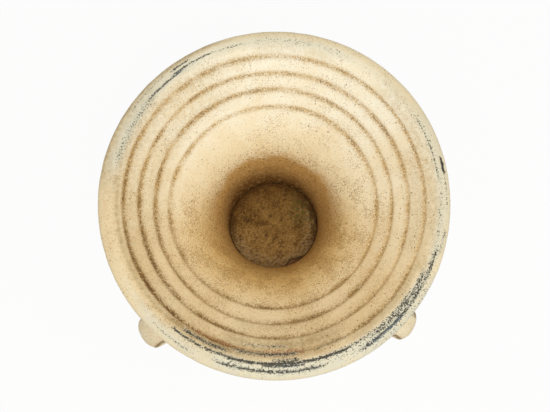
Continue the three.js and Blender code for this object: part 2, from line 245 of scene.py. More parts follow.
# Where the darkening on a scroll fades out, from its eye, over its brow and below its brow
CURL_STAIN = (6 * MM, 11 * MM)
BROW_STAIN = (20 * MM, 26 * MM)
BROW_LEVEL = (-8 * MM, -2 * MM)
# Where a groove holds less or more wash than the rest: groove, from and to angle in degrees, share
GROOVE_WASH = [
    (0, -32, 14, 0.76), (0, 50, 78, 0.9), (0, 136, 222, 1.14), (0, 206, 250, 1.28), (0, 252, 290, 0.78),
    (1, -76, -14, 0.74), (1, 66, 94, 0.8), (1, 108, 230, 1.2), (1, 212, 246, 1.12), (1, 250, 290, 0.86),
    (2, -12, 10, 1.3), (2, 66, 96, 0.8), (2, 150, 206, 1.12), (2, 224, 268, 0.66), (2, 258, 310, 0.76),
    (3, 10, 30, 0.75), (3, 32, 54, 1.2), (3, 90, 116, 0.75), (3, 160, 250, 0.8), (3, -52, -4, 0.76),
]
# Marks worn round the dish, and arcs of grime with painted shade along the lip: from and to angle in degrees,
# radius and half width in mm, strength
WASH_ARCS = [(224, 262, 130.0, 3.6, 0.56), (254, 290, 128.0, 4.0, 0.6), (-100, -58, 120.0, 6.0, 0.3)]
WORN_ARCS = {
    "rubbed": [
        (96, 114, 140.0, 1.4, 0.6), (108, 128, 140.4, 1.3, 1.02), (120, 141, 138.6, 1.4, 1.04),
        (117, 127, 143.8, 1.1, 1.0), (132, 168, 137.0, 4.4, 0.6), (126, 148, 144.6, 0.9, 0.7),
        (58, 98, 139.6, 3.6, 0.42), (0, 32, 140.8, 1.0, 0.84), (-24, 36, 141.6, 3.6, 0.37),
        (-22, 2, 140.6, 1.0, 0.66), (-9, 8, 146.0, 0.8, 0.72), (6.4, 13.2, 146.4, 1.4, 1.6),
        (-22, -11, 146.0, 1.6, 0.76), (-52, -14, 142.8, 2.8, 0.88), (-66, -38, 143.2, 2.4, 1.04),
        (-62, -24, 139.4, 3.0, 0.86), (-84, -30, 136.8, 2.4, 0.8), (-116, -58, 137.1, 2.1, 1.06),
        (-98, -80, 138.4, 1.8, 1.06), (-94, -82, 134.6, 3.0, 0.9), (-116, -70, 143.4, 2.2, 0.98),
        (-110, -80, 128.6, 2.6, 0.84), (-78, -62, 128.2, 2.2, 0.5), (-122, -20, 141.4, 7.0, 0.44),
        (-64, -26, 147.4, 4.0, 0.46), (226, 258, 136.6, 2.0, 0.92), (231, 253, 132.0, 2.4, 0.9),
        (221, 242, 145.0, 1.4, 0.66), (-107, -84, 121.6, 2.6, 0.6),
    ],
    "blued": [(-61, -43, 144.8, 2.2, 0.7), (-94, -76, 139.6, 1.6, 0.4), (122, 133, 139.6, 1.2, 0.5)],
    "rusted": [(-99, -79, 127.0, 4.2, 1.0), (-128, -96, 126.8, 2.0, 0.8), (118, 131, 101.6, 2.4, 0.5)],
    # Grime, and painted shade along the lip's outer edge at the back left
    "grimed_and_shaded": [
        (148, 242, 133.0, 2.6, 0.8), (236, 264, 134.4, 2.8, 0.6), (100, 176, 147.8, 2.4, 0.8),
        (92, 262, 125.0, 9.0, 0.4), (98, 212, 106.0, 12.0, 0.26), (-118, -62, 121.0, 8.0, 0.7),
        (-112, -68, 106.0, 6.0, 0.4), (-26, 24, 137.5, 3.0, 0.5), (-68, -20, 132.0, 3.4, 0.55),
        (212, 262, 132.6, 3.6, 0.7), (130, 180, 134.4, 5.4, 0.7), (128, 178, 143.0, 8.0, 0.6),
        (128, 164, 149.5, 3.2, 1.0), (-20, 52, 133.0, 4.0, 0.4), (-14, 52, 140.0, 5.0, 0.36),
        (62, 98, 133.0, 3.6, 0.3), (210, 254, 140.5, 4.0, 0.46), (-34, 4, 138.0, 6.0, 0.6),
        (-28, 24, 121.0, 6.0, 0.3),
    ],
    "bleached": [
        (-124, -22, 144.0, 8.0, 1.0), (-30, 36, 144.5, 6.0, 0.6), (56, 116, 139.6, 4.0, 0.4),
        (110, 172, 139.6, 5.5, 0.8), (214, 262, 146.0, 5.0, 0.6), (-72, -24, 149.4, 4.0, 1.0),
    ],
}
# Chips knocked out of the lip: angle, radius and height below the crest in mm, reach and depth in mm
LIP_CHIPS = [
    (8.5, 146.6, 2.2, 3.4, 1.3), (11.3, 146.6, 2.2, 3.4, 1.4), (-11.8, 147.0, 2.4, 3.4, 1.0),
    (-31, 140.5, 0.2, 4.0, 0.8), (-78, 138.0, 0.0, 4.5, 0.7), (-88, 144.0, 1.0, 3.5, 0.7),
    (132, 139.0, 0.0, 3.5, 0.6), (103, 147.5, 2.8, 3.0, 0.9), (238, 148.0, 3.4, 3.6, 0.8),
]


# Outlines, as lists of (radius, height)
def bezier(a, b, c, d, steps):
    a, b, c, d = (Vector(p) for p in (a, b, c, d))
    points = []
    for i in range(steps + 1):
        t = i / steps
        s = 1 - t
        points.append(a * s ** 3 + b * (3 * s * s * t) + c * (3 * s * t * t) + d * t ** 3)
    return points


def arc(centre, width, height, start, end, steps):
    points = []
    for i in range(steps + 1):
        angle = math.radians(start + (end - start) * i / steps)
        points.append(Vector((centre[0] + width * math.cos(angle), centre[1] + height * math.sin(angle))))
    return points


def evened(outline, step):
    """The same outline with no two points further apart than a step."""
    points = [Vector(outline[0])]
    for after in outline[1:]:
        before = points[-1].copy()
        after = Vector(after)
        count = max(1, math.ceil((after - before).length / step))
        points += [before.lerp(after, i / count) for i in range(1, count + 1)]
    return points


def softened(outline, radius, steps=4, closed=True):
    """The same outline with its sharp corners turned into short curves."""
    points = [Vector(p) for p in outline]
    count = len(points)
    result = []
    for i, corner in enumerate(points):
        if not closed and i in (0, count - 1):
            result.append(corner)
            continue
        to_last = points[i - 1] - corner
        to_next = points[(i + 1) % count] - corner
        if to_last.length < 1e-7 or to_next.length < 1e-7 or to_last.angle(to_next) > math.radians(165):
            result.append(corner)
            continue
        a = corner + to_last.normalized() * min(radius, to_last.length * 0.45)
        b = corner + to_next.normalized() * min(radius, to_next.length * 0.45)
        for j in range(steps + 1):
            t = j / steps
            result.append(a * (1 - t) ** 2 + corner * (2 * t * (1 - t)) + b * t ** 2)
    return result


def shifted(outline, distance):
    """The outline moved sideways, to the right of its run."""
    points = []
    for i, at in enumerate(outline):
        along = (outline[min(i + 1, len(outline) - 1)] - outline[max(i - 1, 0)]).normalized()
        points.append(Vector((at.x + along.y * distance, at.y - along.x * distance)))
    return points


# Places round the axis
def on_circle(radius, angle, height=0.0):
    return Vector((radius * math.cos(angle), radius * math.sin(angle), height))


def polar(at):
    """A place's distance from the axis and its angle."""
    return math.hypot(at.x, at.y), math.atan2(at.y, at.x)


def degrees_apart(a, b):
    return abs((a - b + 180) % 360 - 180)


def smooth_step(low, high, value):
    t = min(1.0, max(0.0, (value - low) / (high - low)))
    return t * t * (3 - 2 * t)


def bell(off, width):
    """1 in the middle, falling off softly over a width on either side."""
    return math.exp(-(off / width) ** 2)


def dimple(share):
    """1 in the middle of a hollow, and 0 from its edge, at a share of 1, outwards."""
    return (1 - share * share) ** 2 if share < 1 else 0.0


def wander(angle, seed):
    """A slow, repeatable drift round the axis, from about -1 to 1."""
    return 0.55 * math.sin(2 * angle + seed) + 0.3 * math.sin(3 * angle + 2.3 * seed) \
        + 0.25 * math.sin(7 * angle + 1.7 * seed)


def lumps(at, size, seed=0.0):
    """Lumps of about a size, from about -1 to 1."""
    return noise.noise(Vector((at.x / size + seed, at.y / size, at.z / size)))


def lump_depth(at, kind, broad_seed=0.0, fine_seed=0.0):
    """How far broad and fine lumps of hand-made clay press its skin in."""
    broad, broad_size, fine, fine_size = kind
    return broad * (1 + lumps(at, broad_size, broad_seed)) + fine * lumps(at, fine_size, fine_seed)


# Meshes
def put(name, data):
    """A new object in the scene for a mesh, a lamp or a lens."""
    thing = bpy.data.objects.new(name, data)
    bpy.context.scene.collection.objects.link(thing)
    return thing


def make_piece(name, shape, body, node, weld=False):
    verts, faces = shape
    mesh = bpy.data.meshes.new(name)
    mesh.from_pydata([tuple(v) for v in verts], [], faces)
    if weld:
        bm = bmesh.new()
        bm.from_mesh(mesh)
        bmesh.ops.remove_doubles(bm, verts=bm.verts, dist=1e-6)
        bm.to_mesh(mesh)
        bm.free()
    mesh.polygons.foreach_set("use_smooth", [True] * len(mesh.polygons))
    mesh.update()
    piece = put(name, mesh)
    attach(piece, body)
    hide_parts(node)
    return piece


def swung(outline_at, segments):
    """The points and faces of a closed outline swung round the axis.
    The outline runs up its outside and down its inside, and may change with the angle."""
    verts = []
    faces = []
    for i in range(segments):
        angle = TURN * i / segments
        outline = outline_at(angle)
        verts += [on_circle(r, angle, z) for r, z in outline]
        rows = len(outline)
        here = i * rows
        following = (i + 1) % segments * rows
        for j in range(rows):
            k = (j + 1) % rows
            faces.append((here + j, following + j, following + k, here + k))
    return verts, faces


def turned(outline, segments):
    return swung(lambda angle: outline, segments)


def tube_faces(rings, around):
    """Faces that join rings of points one after another and close both ends."""
    faces = [tuple(reversed(range(around)))]
    for i in range(rings - 1):
        here = i * around
        following = here + around
        for j in range(around):
            k = (j + 1) % around
            faces.append((here + j, here + k, following + k, following + j))
    last = (rings - 1) * around
    faces.append(tuple(range(last, last + around)))
    return faces


def press(piece, depth_at):
    """Pushes each point of a piece in by a depth that depends on its place and its normal."""
    mesh = piece.data
    mesh.update()
    normals = [v.normal.copy() for v in mesh.vertices]
    for vertex, normal in zip(mesh.vertices, normals):
        vertex.co -= normal * depth_at(vertex.co, normal)
    mesh.update()


def mark(piece, name, value_at):
    """Keeps a value at each point of a piece, for its material to read."""
    mesh = piece.data
    layer = mesh.attributes.new(name, "FLOAT", "POINT")
    layer.data.foreach_set("value", [value_at(v.co, v.normal) for v in mesh.vertices])


# Dish
def brim_height(radius):
    return CREST - (CREST_INNER - radius) * math.tan(BRIM_SLOPE)


def throat_outline():
    start = Vector((BRIM_INNER, brim_height(BRIM_INNER)))
    shoulder = start - Vector((math.cos(BRIM_SLOPE), math.sin(BRIM_SLOPE))) * SHOULDER_REACH
    foot = Vector((THROAT_RADIUS, LEDGE_TOP))
    steep = foot + Vector((THROAT_DRAFT, THROAT_REACH))
    return bezier(start, shoulder, steep, foot, THROAT_STEPS)


def dish_outline():
    crest = Vector((CREST_INNER, CREST))
    throat = throat_outline()
    underside = shifted(list(reversed([crest] + throat)), DISH_WALL)
    neck_radius = CREST_OUTER - LIP_NECK
    neck_drop = (CREST_INNER - neck_radius + DISH_WALL * math.sin(BRIM_SLOPE)) * math.tan(BRIM_SLOPE)
    neck = Vector((neck_radius, CREST - neck_drop - DISH_WALL * math.cos(BRIM_SLOPE)))
    wall = [p for p in underside if p.x < neck_radius - LIP_NECK and p.y > DISH_FOOT + DISH_FOOT_BAND]
    foot = softened([
        (LEDGE_BORE, LEDGE_TOP), (LEDGE_BORE, DISH_LOW.z), (SPIGOT_RADIUS, DISH_LOW.z),
        (SPIGOT_RADIUS, DISH_FOOT), (DISH_FOOT_RADIUS - FOOT_CHAMFER, DISH_FOOT),
        (DISH_FOOT_RADIUS, DISH_FOOT + FOOT_CHAMFER), wall[0],
    ], FOOT_ROUNDING, 3, closed=False)
    centre = (CREST_OUTER, CREST - LIP_TOP_DROP)
    lip = arc(centre, LIP_ROLL, LIP_UNDER_DROP, -90, 0, 12)
    lip += arc(centre, LIP_ROLL, LIP_TOP_DROP, 0, 90, 16)[1:]
    side = softened(wall + [neck] + lip[:1], NECK_ROUNDING, 5, closed=False)
    outside = evened(foot[:-1] + side, OUTSIDE_STEP)
    brim = evened(softened([lip[-1], crest, throat[0]], CREST_ROUNDING, 6, closed=False), BRIM_STEP)
    return outside + lip[1:-1] + brim + throat[1:-1] + [Vector((THROAT_RADIUS, LEDGE_TOP))]


def within_arc(angle, start, end):
    """1 inside an arc given in degrees, fading to 0 at its ends."""
    reach = (end - start) / 2
    return 1 - smooth_step(reach * 0.65, reach, degrees_apart(angle, (start + end) / 2))


def groove_wash(groove, angle):
    """How much wash a groove holds at an angle, against 1 for an even one."""
    share = 0.88 + 0.12 * wander(angle, 0.4 + 5 * groove)
    for which, start, end, thickness in GROOVE_WASH:
        if which == groove:
            share *= 1 + (thickness - 1) * within_arc(math.degrees(angle), start, end)
    return share


def groove_at(at):
    """Depth of the turned grooves at a place on the brim, from 0 to 1, and how much wash they hold."""
    radius, angle = polar(at)
    pressed = 0.0
    stained = 0.0
    for i in range(GROOVE_COUNT):
        middle = GROOVE_OUTERMOST - GROOVE_PITCH * i + GROOVE_DRIFT * wander(angle, 1.3 + 2 * i)
        half = GROOVE_WIDTH / 2 * (1 + 0.2 * wander(angle, 4.1 + 3 * i))
        across = abs(radius - middle) / half
        pressed = max(pressed, dimple(across))
        if across < STAIN_REACH:
            stained = max(stained, groove_wash(i, angle) * bell(across, STAIN_SPREAD))
    return pressed, stained


def on_brim(at, normal):
    return normal.z > 0.6 and at.z > CREST - BRIM_DEPTH


def worn(arcs):
    """How strongly a list of worn arcs marks each place on the dish's upper side."""
    def worn_at(at, normal):
        if at.z < CREST - WORN_DEPTH or normal.z < 0.1:
            return 0.0
        radius, angle = polar(at)
        strongest = 0.0
        for start, end, middle, half, strength in arcs:
            around = within_arc(math.degrees(angle), start, end)
            if around > 0:
                off = radius / MM - middle - 0.5 * wander(2 * angle, middle)
                strongest = max(strongest, strength * around * bell(off, half))
        return strongest
    return worn_at


def throw_dish(at):
    """The dish is turned by hand: its rim is a little out of round and its lip a little uneven."""
    radius, angle = polar(at)
    weight = smooth_step(RIM_WAVES_START, RIM_RADIUS, radius)
    out = -RIM_SHRINK
    for waves, share, peak in RIM_WAVES:
        out += share * math.cos(waves * (angle - math.radians(peak)))
    lift = RIM_UNEVENNESS * wander(angle, 2.9) - RIM_SAG
    at.x *= 1 + out * weight
    at.y *= 1 + out * weight
    at.z += lift * weight


def make_dish():
    dish = make_piece("clay_dish", turned(dish_outline(), DISH_SEGMENTS), "bowl", "bowl_shell")
    washed_over = worn(WASH_ARCS)

    def stained(at, normal):
        return max(groove_at(at)[1], washed_over(at, normal)) if on_brim(at, normal) else 0.0

    def inside(at, normal):
        outward = (normal.x * at.x + normal.y * at.y) / math.hypot(at.x, at.y)
        return smooth_step(-0.2, 0.2, normal.z - 0.9 * outward)

    def depth(at, normal):
        radius, angle = polar(at)
        sunk = 0.0
        if radius > SPIGOT_RADIUS and at.z > DISH_FOOT:
            sunk += lump_depth(at, DISH_LUMPS)
            if inside(at, normal) < 0.1:
                rings = math.sin((at.z + radius) / FINGER_STEP + wander(angle, 1.1))
                sunk += DISH_FINGER_DEPTH * (1 + rings)
        if on_brim(at, normal):
            sunk += GROOVE_DEPTH * groove_at(at)[0]
        for chip_angle, chip_radius, drop, reach, deep in LIP_CHIPS:
            middle = on_circle(chip_radius, math.radians(chip_angle), CREST / MM - drop) * MM
            sunk += deep * MM * dimple((at - middle).length / (reach * MM))
        return sunk

    mark(dish, "stained", stained)
    for name, arcs in WORN_ARCS.items():
        mark(dish, name, worn(arcs))
    mark(dish, "inside", inside)
    press(dish, depth)
    for vertex in dish.data.vertices:
        throw_dish(vertex.co)
    dish.data.update()
    return dish


# Throat plug
def flake_crack(at):
    """Signed distance from the crack that parts a flake from the plug's edge; beyond it is positive."""
    outward = at.x * math.cos(FLAKE_ANGLE) + at.y * math.sin(FLAKE_ANGLE)
    sideways = -at.x * math.sin(FLAKE_ANGLE) + at.y * math.cos(FLAKE_ANGLE)
    wave = CRACK_WAVE * math.sin(sideways / CRACK_WAVE_STEP)
    return outward - FLAKE_REACH - wave - abs(sideways) * FLAKE_CURVE


def plug_pits():
    draw = random.Random(PIT_SEED)
    pits = []
    for _ in range(PIT_COUNT):
        angle = draw.uniform(0, TURN)
        radius = PIT_ZONE * math.sqrt(draw.random())
        reach = draw.uniform(0.8, 2.3) * MM
        pits.append((on_circle(radius, angle), reach))
    return pits


def make_plug():
    top = PLUG_HIGH.z
    edge = PLUG_HIGH.x + PLUG_SPREAD
    side = [(0, PLUG_LOW.z), (THROAT_RADIUS - GAP, PLUG_LOW.z), (edge, top - PLUG_EDGE)]
    shoulder = arc((edge - PLUG_EDGE, top - PLUG_EDGE), PLUG_EDGE, PLUG_EDGE, 0, 90, 4)[1:]
    face = evened([shoulder[-1], (0, top)], PLUG_FACE_STEP)[1:]
    shape = turned(evened(side, PLUG_SIDE_STEP) + shoulder + face, PLUG_SEGMENTS)
    plug = make_piece("earth_plug", shape, "bowl", "throat_plug", weld=True)
    pits = plug_pits()

    def pitted(at, normal):
        flat = Vector((at.x, at.y, 0))
        return max(dimple((flat - middle).length / reach) for middle, reach in pits)

    def depth(at, normal):
        if at.z < top - PLUG_CRUST:
            return 0.0
        rough = lump_depth(at, PLUG_LUMPS, fine_seed=5)
        rough += PLUG_GRIT_DEPTH * lumps(at, PLUG_GRIT_SIZE) + PIT_DEPTH * pitted(at, normal)
        rim = smooth_step(*PLUG_RIM, math.hypot(at.x, at.y))
        rough -= PLUG_RIM_RISE * rim * lumps(at, PLUG_RIM_LUMP, 9)
        crack = flake_crack(at)
        rough += CRACK_DEPTH * bell(crack, CRACK_WIDTH) + FLAKE_DROP * smooth_step(0, FLAKE_SLOPE, crack)
        return max(0.0, rough)

    mark(plug, "pitted", pitted)
    mark(plug, "flaked", lambda at, normal: smooth_step(0, FLAKE_EDGE, flake_crack(at)))
    mark(plug, "cracked", lambda at, normal: bell(flake_crack(at), CRACK_STAIN))
    press(plug, depth)
    return plug


# Stem, hub and cork
def waist_outline():
    """A smooth run through the stem's foot, waist and top."""
    knots = [Vector((STEM_FOOT_RADIUS, STEM_FOOT + STEM_BEAD_HEIGHT)),
             Vector((STEM_WAIST_RADIUS, STEM_FOOT + STEM_WAIST_HEIGHT)),
             Vector((STEM_TOP_RADIUS, STEM_HIGH.z))]
    points = []
    for i in range(2):
        a, b = knots[i], knots[i + 1]
        leave = (b - knots[max(i - 1, 0)]) / 2
        arrive = (knots[min(i + 2, 2)] - a) / 2
        for j in range(0 if i == 0 else 1, WAIST_STEPS + 1):
            t = j / WAIST_STEPS
            points.append((a * 2 - b * 2 + leave + arrive) * t ** 3
                          + (b * 3 - a * 3 - leave * 2 - arrive) * t ** 2 + leave * t + a)
    return points


def stem_outline():
    waist = waist_outline()
    bead_half = STEM_BEAD_HEIGHT / 2
    bead = arc((STEM_FOOT_RADIUS, STEM_FOOT + bead_half), STEM_BEAD, bead_half, -90, 90, 10)
    tenon_bore = TENON_RADIUS - STEM_WALL
    hollow = [p for p in waist if p.y < WEB_FOOT - STEM_WALL / 2]
    inner = [Vector((max(p.x - STEM_WALL, ROD_HOLE), p.y)) for p in reversed(hollow)]
    corners = [
        (tenon_bore, STEM_LOW.z), (TENON_RADIUS, STEM_LOW.z), (TENON_RADIUS, STEM_FOOT), *bead, *waist[1:],
        (SOCKET_RADIUS, STEM_HIGH.z), (SOCKET_RADIUS, SOCKET_FLOOR), (ROD_HOLE, SOCKET_FLOOR),
        (ROD_HOLE, WEB_FOOT), *inner, (tenon_bore, STEM_FOOT),
    ]
    return evened(softened(corners, STEM_ROUNDING, 4), TURNED_STEP)


def hub_outline():
    socket = TENON_RADIUS + GAP
    socket_floor = STEM_LOW.z - GAP
    swell = HUB_RADIUS - HUB_FOOT_RADIUS
    belly = arc((HUB_FOOT_RADIUS, HUB_LOW.z + HUB_FOOT_RISE), swell, HUB_FOOT_RISE, -90, 0, 14)
    corners = [
        (NUT_RECESS_RADIUS, HUB_LOW.z), *belly, (HUB_RADIUS, HUB_HIGH.z - HUB_EDGE),
        (HUB_RADIUS - HUB_EDGE, HUB_HIGH.z), (socket, HUB_HIGH.z), (socket, socket_floor),
        (ROD_HOLE, socket_floor), (ROD_HOLE, NUT_RECESS_TOP), (NUT_RECESS_RADIUS, NUT_RECESS_TOP),
    ]
    return evened(softened(corners, HUB_ROUNDING, 5), TURNED_STEP)


def hand_turned(at, normal):
    """Shallow lumps and the faint rings that fingers leave on a turned piece."""
    radius, angle = polar(at)
    if radius < SOCKET_RADIUS - STEM_WALL or abs(normal.z) > 0.95:
        return 0.0
    rings = math.sin(at.z / FINGER_STEP + 0.6 * wander(angle, 1.1))
    return lump_depth(at, STEM_LUMPS) + STEM_FINGER_DEPTH * (1 + rings)


def make_stem():
    stem = make_piece("waisted_stem", turned(stem_outline(), STEM_SEGMENTS), "stand", "stem")

    def stained(at, normal):
        joint = bell(at.z - STEM_FOOT, STEM_FOOT_STAIN)
        crease = bell(at.z - STEM_FOOT - STEM_BEAD_HEIGHT, BEAD_STAIN)
        return min(1.0, joint + crease + 0.6 * bell(at.z - STEM_HIGH.z, TOP_EDGE_STAIN))

    mark(stem, "stained", stained)
    press(stem, hand_turned)
    return stem


def make_hub():
    hub = make_piece("leg_hub", turned(hub_outline(), STEM_SEGMENTS), "stand", "tripod_hub")
    leg_height = LEG_ROOT_HEIGHT + LEG_ROOT_THICKNESS / 2 * math.tan(LEG_RISE)
    squareness = 2 / STRAP_BLUNTNESS

    def stained(at, normal):
        radius, angle = polar(at)
        closest = min(degrees_apart(math.degrees(angle), leg) for leg in LEG_ANGLES.values())
        across = 2 * radius * math.radians(closest) / LEG_WIDTH
        upward = 2 * abs(at.z - leg_height) / LEG_ROOT_THICKNESS
        outline = (across ** squareness + upward ** squareness) ** (1 / squareness)
        beside = bell((outline - 1) * LEG_ROOT_THICKNESS / 2, LEG_SOCKET_STAIN)
        return min(1.0, beside + 0.7 * bell(at.z - HUB_HIGH.z, TOP_EDGE_STAIN))

    mark(hub, "stained", stained)
    press(hub, hand_turned)
    return hub


def make_cork():
    inner = SOCKET_RADIUS
    outer = CORK_HIGH.x
    corners = [(inner, CORK_LOW.z), (outer, CORK_LOW.z), (outer, CORK_HIGH.z), (inner, CORK_HIGH.z)]
    shape = turned(evened(softened(corners, CORK_ROUNDING, 3), CORK_STEP), CORK_SEGMENTS)
    cork = make_piece("cork_ring", shape, "stand", "seat_ring")
    press(cork, lambda at, normal: CORK_GRAIN_DEPTH * (1 + lumps(at, CORK_GRAIN_SIZE)))
    return cork


# Legs and pads
def leg_stations():
    """Point, heading and thickness along the leg's middle line, from the hub to the scroll's eye."""
    root = Vector((HUB_RADIUS - LEG_ROOT_THICKNESS / 2, LEG_ROOT_HEIGHT))
    toe = Vector((SCROLL_CENTRE_RADIUS, TOE_HEIGHT))
    rising = root + Vector((math.cos(LEG_RISE), math.sin(LEG_RISE))) * LEG_ROOT_REACH
    run = bezier(root, rising, toe - Vector((LEG_TOE_REACH, 0)), toe, LEG_STEPS)
    taper = LEG_TOE_THICKNESS - LEG_ROOT_THICKNESS
    stations = [(root, LEG_RISE, LEG_ROOT_THICKNESS)]
    for i in range(1, LEG_STEPS):
        along = run[i + 1] - run[i - 1]
        thickness = LEG_ROOT_THICKNESS + taper * (i / LEG_STEPS)
        stations.append((run[i], math.atan2(along.y, along.x), thickness))
    stations.append((toe, 0.0, LEG_TOE_THICKNESS))
    turn = SCROLL_TURNS * TURN / SCROLL_STEPS
    taper = SCROLL_EYE_THICKNESS - LEG_TOE_THICKNESS
    at = toe.copy()
    for i in range(1, SCROLL_STEPS + 1):
        share = i / SCROLL_STEPS
        radius = SCROLL_RADIUS + (SCROLL_EYE_RADIUS - SCROLL_RADIUS) * (share - 0.5 / SCROLL_STEPS)
        middle = (i - 0.5) * turn
        at = at + Vector((math.cos(middle), math.sin(middle))) * (2 * radius * math.sin(turn / 2))
        stations.append((at, i * turn, LEG_TOE_THICKNESS + taper * share))
    return stations


def strap_section(thickness):
    """A hand-rolled strap's section, as (sideways, outward): crowned faces and well rounded edges."""
    def blunted(value):
        return math.copysign(abs(value) ** STRAP_BLUNTNESS, value)

    angles = [TURN * i / STRAP_POINTS for i in range(STRAP_POINTS)]
    return [(LEG_WIDTH / 2 * blunted(math.cos(a)), thickness / 2 * blunted(math.sin(a))) for a in angles]


def barrelled(at):
    """Draws the ends of the scroll in towards its axis, so that the roll is fullest at its middle."""
    axis = Vector((SCROLL_CENTRE_RADIUS, at.y, EYE_HEIGHT))
    off = at - axis
    near = 1 - smooth_step(SCROLL_RADIUS * 1.4, SCROLL_RADIUS * 2.2, off.length)
    raised = smooth_step(BARREL_START, BARREL_FULL, at.z)
    drawn = SCROLL_BARREL * abs(2 * at.y / LEG_WIDTH) ** SCROLL_BARREL_CURVE
    return axis + off * (1 - drawn * near * raised)


def leg_rings():
    """Rings of points along a leg that points to +X; the first lies on the hub's side."""
    stations = leg_stations()
    rings = []
    for at, heading, thickness in stations:
        ring = []
        for y, out in strap_section(thickness):
            point = barrelled(Vector((at.x - math.sin(heading) * out, y, at.y + math.cos(heading) * out)))
            point.z = max(point.z, FOOT_FLAT)
            ring.append(point)
        rings.append(ring)
    reach = HUB_RADIUS + GAP
    first = next(i for i, ring in enumerate(rings) if all(math.hypot(p.x, p.y) > reach + MM for p in ring))
    slope = math.tan(stations[first][1])
    root = []
    for p in rings[first]:
        x = math.sqrt(reach ** 2 - p.y ** 2)
        root.append(Vector((x, p.y, p.z - (p.x - x) * slope)))
    return [root] + rings[first:]


def make_leg(side, angle):
    """One leg; rolled by hand, it reaches a little less far than the drawing or just as far."""
    rings = leg_rings()
    spin = Matrix.Rotation(math.radians(angle), 3, "Z")
    back = spin.inverted()
    drawn_in = LEG_SHORTFALL[side] / (SCROLL_CENTRE_RADIUS - HUB_RADIUS)
    verts = []
    for p in [p for ring in rings for p in ring]:
        beyond = max(0.0, p.x - HUB_RADIUS - GAP)
        verts.append(spin @ Vector((p.x - beyond * drawn_in, p.y, p.z)))
    shape = verts, tube_faces(len(rings), STRAP_POINTS)
    leg = make_piece(f"scroll_leg_{side}", shape, "stand", f"leg_{side}")

    def stained(at, normal):
        local = back @ at
        sideways = 2 * local.y / LEG_WIDTH
        above = local.z - EYE_HEIGHT
        off = math.hypot(local.x - SCROLL_CENTRE_RADIUS, above)
        joint = bell(math.hypot(local.x, local.y) - HUB_RADIUS, LEG_ROOT_STAIN)
        curl = 1 - smooth_step(*CURL_STAIN, off)
        brow = (1 - smooth_step(*BROW_STAIN, off)) * smooth_step(*BROW_LEVEL, above)
        # The brow is darkened towards both ends of the scroll, and on the right leg across one side as well
        end = smooth_step(0.88, 0.98, abs(sideways))
        right_end_darkening = smooth_step(0.5, 0.7, sideways) if side == "front_right" else 0.0
        return min(1.0, joint + 0.8 * curl + brow * max(0.75 * end, right_end_darkening))

    def depth(at, normal):
        return lump_depth(at, LEG_LUMPS, 3, 7) if at.z >= FOOT_FLAT + FOOT_SOLE else 0.0

    mark(leg, "stained", stained)
    press(leg, depth)
    return leg


def make_pad(side, angle):
    """A felt pad with a softly rounded outline, under the rolled foot."""
    long_half = (PAD_HIGH.x - PAD_LOW.x) / 2 - PAD_CORNER
    short_half = (PAD_HIGH.y - PAD_LOW.y) / 2 - PAD_CORNER
    height = PAD_HIGH.z - PAD_LOW.z
    spin = Matrix.Rotation(math.radians(angle), 3, "Z")
    outline = []
    for x, y, start in ((1, -1, -90), (1, 1, 0), (-1, 1, 90), (-1, -1, 180)):
        outline += arc((x * short_half, y * long_half), PAD_CORNER, PAD_CORNER, start, start + 90, 8)
    outline = evened(outline + outline[:1], PAD_STEP)[:-1]
    verts = []
    for share, level in PAD_LAYERS:
        for p in outline:
            fuzz = 1 - PAD_FUZZ * (1 + noise.noise(Vector((p.x, p.y, level * height)) / PAD_FIBRE))
            flat = p * (share * fuzz)
            verts.append(spin @ Vector((SCROLL_CENTRE_RADIUS + flat.x, flat.y, PAD_LOW.z + level * height)))
    shape = verts, tube_faces(len(PAD_LAYERS), len(outline))
    return make_piece(f"felt_pad_{side}", shape, "stand", f"foot_pad_{side}")


# Rod, nuts and washers
def make_rod():
    """The tie rod, with a cut thread at each end."""
    step = THREAD_PITCH / THREAD_STEPS
    ends = [ROD_LOW.z + THREAD_LENGTH, ROD_HIGH.z - THREAD_LENGTH]
    levels = evened([(0, ROD_LOW.z), (0, ends[0])], step) + evened([(0, ends[1]), (0, ROD_HIGH.z)], step)
    verts = []
    for _, z in levels:
        threaded = z < ends[0] - THREAD_PITCH or z > ends[1] + THREAD_PITCH
        tip = min(z - ROD_LOW.z, ROD_HIGH.z - z)
        for i in range(ROD_SEGMENTS):
            phase = (z / THREAD_PITCH - i / ROD_SEGMENTS) % 1
            cut = THREAD_DEPTH * (1 - abs(2 * phase - 1)) if threaded else 0
            verts.append(on_circle(ROD_RADIUS - max(cut, ROD_TIP - tip), TURN * i / ROD_SEGMENTS, z))
    shape = verts, tube_faces(len(levels), ROD_SEGMENTS)
    return make_piece("threaded_rod", shape, "stand", "tie_rod")


def make_nut(end):
    """A six-sided nut whose corners are bevelled top and bottom."""
    low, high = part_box(f"rod_nut_{end}")
    half = NUT_FLATS / 2
    side = TURN / 6
    face = half - NUT_FACE_INSET

    def outline_at(angle):
        off = (angle + side / 2) % side - side / 2
        corner = half / math.cos(side / 2 - abs(off))
        drop = (corner - half) * math.tan(NUT_CORNER_SLOPE) + NUT_CORNER_DROP
        return [
            (ROD_HOLE + NUT_BEVEL, low.z), (face, low.z), (corner - NUT_CORNER_IN, low.z + drop),
            (corner, low.z + drop + NUT_CORNER_DOWN), (corner, high.z - drop - NUT_CORNER_DOWN),
            (corner - NUT_CORNER_IN, high.z - drop), (face, high.z), (ROD_HOLE + NUT_BEVEL, high.z),
            (ROD_HOLE, high.z - NUT_BEVEL), (ROD_HOLE, low.z + NUT_BEVEL),
        ]

    shape = swung(outline_at, NUT_SEGMENTS)
    return make_piece(f"hex_nut_{end}", shape, "stand", f"rod_nut_{end}")


def make_washer(end):
    low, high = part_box(f"rod_washer_{end}")
    corners = [(ROD_HOLE, low.z), (high.x, low.z), (high.x, high.z), (ROD_HOLE, high.z)]
    shape = turned(softened(corners, WASHER_ROUNDING, 3), WASHER_SEGMENTS)
    return make_piece(f"plain_washer_{end}", shape, "stand", f"rod_washer_{end}")


